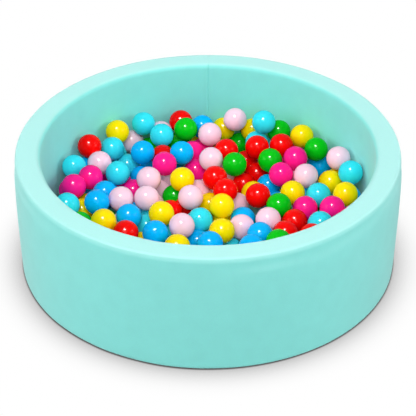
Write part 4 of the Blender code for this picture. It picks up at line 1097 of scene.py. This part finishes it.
class PIT_OT_stage(bpy.types.Operator):
    """Make the pale floor, the soft studio light and the camera."""

    bl_idname = "pit.stage"
    bl_label = "Stage"

    def execute(self, context):
        scene = context.scene
        scene.view_settings.view_transform = "Standard"
        self.floor()
        self.world(scene)
        for name, way, distance, radius, power, glint in LAMPS:
            self.lamp(name, Vector(way), distance, radius, power, glint)
        self.camera(scene)
        return {"FINISHED"}

    def floor(self):
        """A sheet of paper with a hole under the pit, which is closed by the pit's foot."""
        shape = bmesh.new()
        bmesh.ops.create_circle(shape, cap_ends=False, radius=STAGE_HOLE, segments=RING_STEPS)
        widened = bmesh.ops.extrude_edge_only(shape, edges=list(shape.edges))["geom"]
        for part in widened:
            if isinstance(part, bmesh.types.BMVert):
                part.co *= STAGE_RADIUS / STAGE_HOLE
        bmesh.ops.translate(shape, verts=shape.verts, vec=(0.0, 0.0, -STAGE_DROP))
        for face in shape.faces:
            face.normal_update()
            if face.normal.z < 0.0:
                face.normal_flip()
        floor = finished("studio_floor", shape, material("studio_floor", studio_paper), smooth=False)

    def world(self, scene):
        scene.world = bpy.data.worlds.new("studio")
        scene.world.use_nodes = True
        tree = scene.world.node_tree
        tree.nodes.clear()
        rays = add_node(tree, "LightPath").outputs
        seen = rays["Is Camera Ray"]
        for other in ("Is Glossy Ray", "Is Transmission Ray"):
            seen = add_node(tree, "Math", {"operation": "MAXIMUM"}, {0: seen, 1: rays[other]}).outputs[0]
        strength = add_node(tree, "MapRange", inputs={"Value": seen, "To Min": ROOM_LIGHT})
        light = add_node(tree, "Background", inputs={"Color": (1.0, 1.0, 1.0, 1.0), "Strength": strength})
        add_node(tree, "OutputWorld", inputs={"Surface": light})

    def lamp(self, name, way, distance, radius, power, glint):
        data = bpy.data.lights.new(name, "AREA")
        data.shape = "DISK"
        data.size = 2 * radius
        data.energy = power
        lamp = bpy.data.objects.new(name, data)
        lamp.visible_diffuse = not glint
        bpy.context.scene.collection.objects.link(lamp)
        lamp.location = way.normalized() * distance + Vector((0.0, 0.0, AIM_HEIGHT))
        lamp.rotation_euler = way.to_track_quat("Z", "Y").to_euler()

    def camera(self, scene):
        data = bpy.data.cameras.new("photo_camera")
        data.sensor_width = SENSOR_MM
        data.lens = SENSOR_MM * PHOTO_LENS_PX / PHOTO_SIZE_PX
        camera = bpy.data.objects.new("photo_camera", data)
        scene.collection.objects.link(camera)
        camera.location = eye()
        camera.rotation_euler = (math.pi / 2 - EYE_SLOPE, 0.0, 0.0)
        scene.camera = camera


class PIT_PT_pieces(bpy.types.Panel):
    """The pieces of the ball pit."""

    bl_idname = "PIT_PT_pieces"
    bl_label = "Ball Pit"
    bl_space_type = "VIEW_3D"
    bl_region_type = "UI"
    bl_category = "Ball Pit"

    def draw(self, context):
        for group in (context.scene.pit_sizes, context.scene.pit_colours):
            for name in group.__annotations__:
                self.layout.prop(group, name)
        for operator in OPERATORS:
            self.layout.operator(operator.bl_idname)


OPERATORS = (
    PIT_OT_wall,
    PIT_OT_floor,
    PIT_OT_underside,
    PIT_OT_zip,
    PIT_OT_loose_balls,
    PIT_OT_resting_balls,
    PIT_OT_stage,
)
CLASSES = (PitSizes, PitColours, *OPERATORS, PIT_PT_pieces)


def register():
    for made in CLASSES:
        bpy.utils.register_class(made)
    bpy.types.Scene.pit_sizes = bpy.props.PointerProperty(type=PitSizes)
    bpy.types.Scene.pit_colours = bpy.props.PointerProperty(type=PitColours)


def unregister():
    del bpy.types.Scene.pit_colours
    del bpy.types.Scene.pit_sizes
    for made in reversed(CLASSES):
        bpy.utils.unregister_class(made)


def main():
    """Builds every piece in turn."""
    register()
    # Blender starts with these three.
    for obj in list(bpy.data.objects):
        if obj.name in ("Cube", "Light", "Camera"):
            bpy.data.objects.remove(obj)
    bpy.ops.pit.wall()
    bpy.ops.pit.floor()
    bpy.ops.pit.underside()
    bpy.ops.pit.zip()
    bpy.ops.pit.loose_balls()
    bpy.ops.pit.resting_balls()
    bpy.ops.pit.stage()


if __name__ == "__main__":
    main()
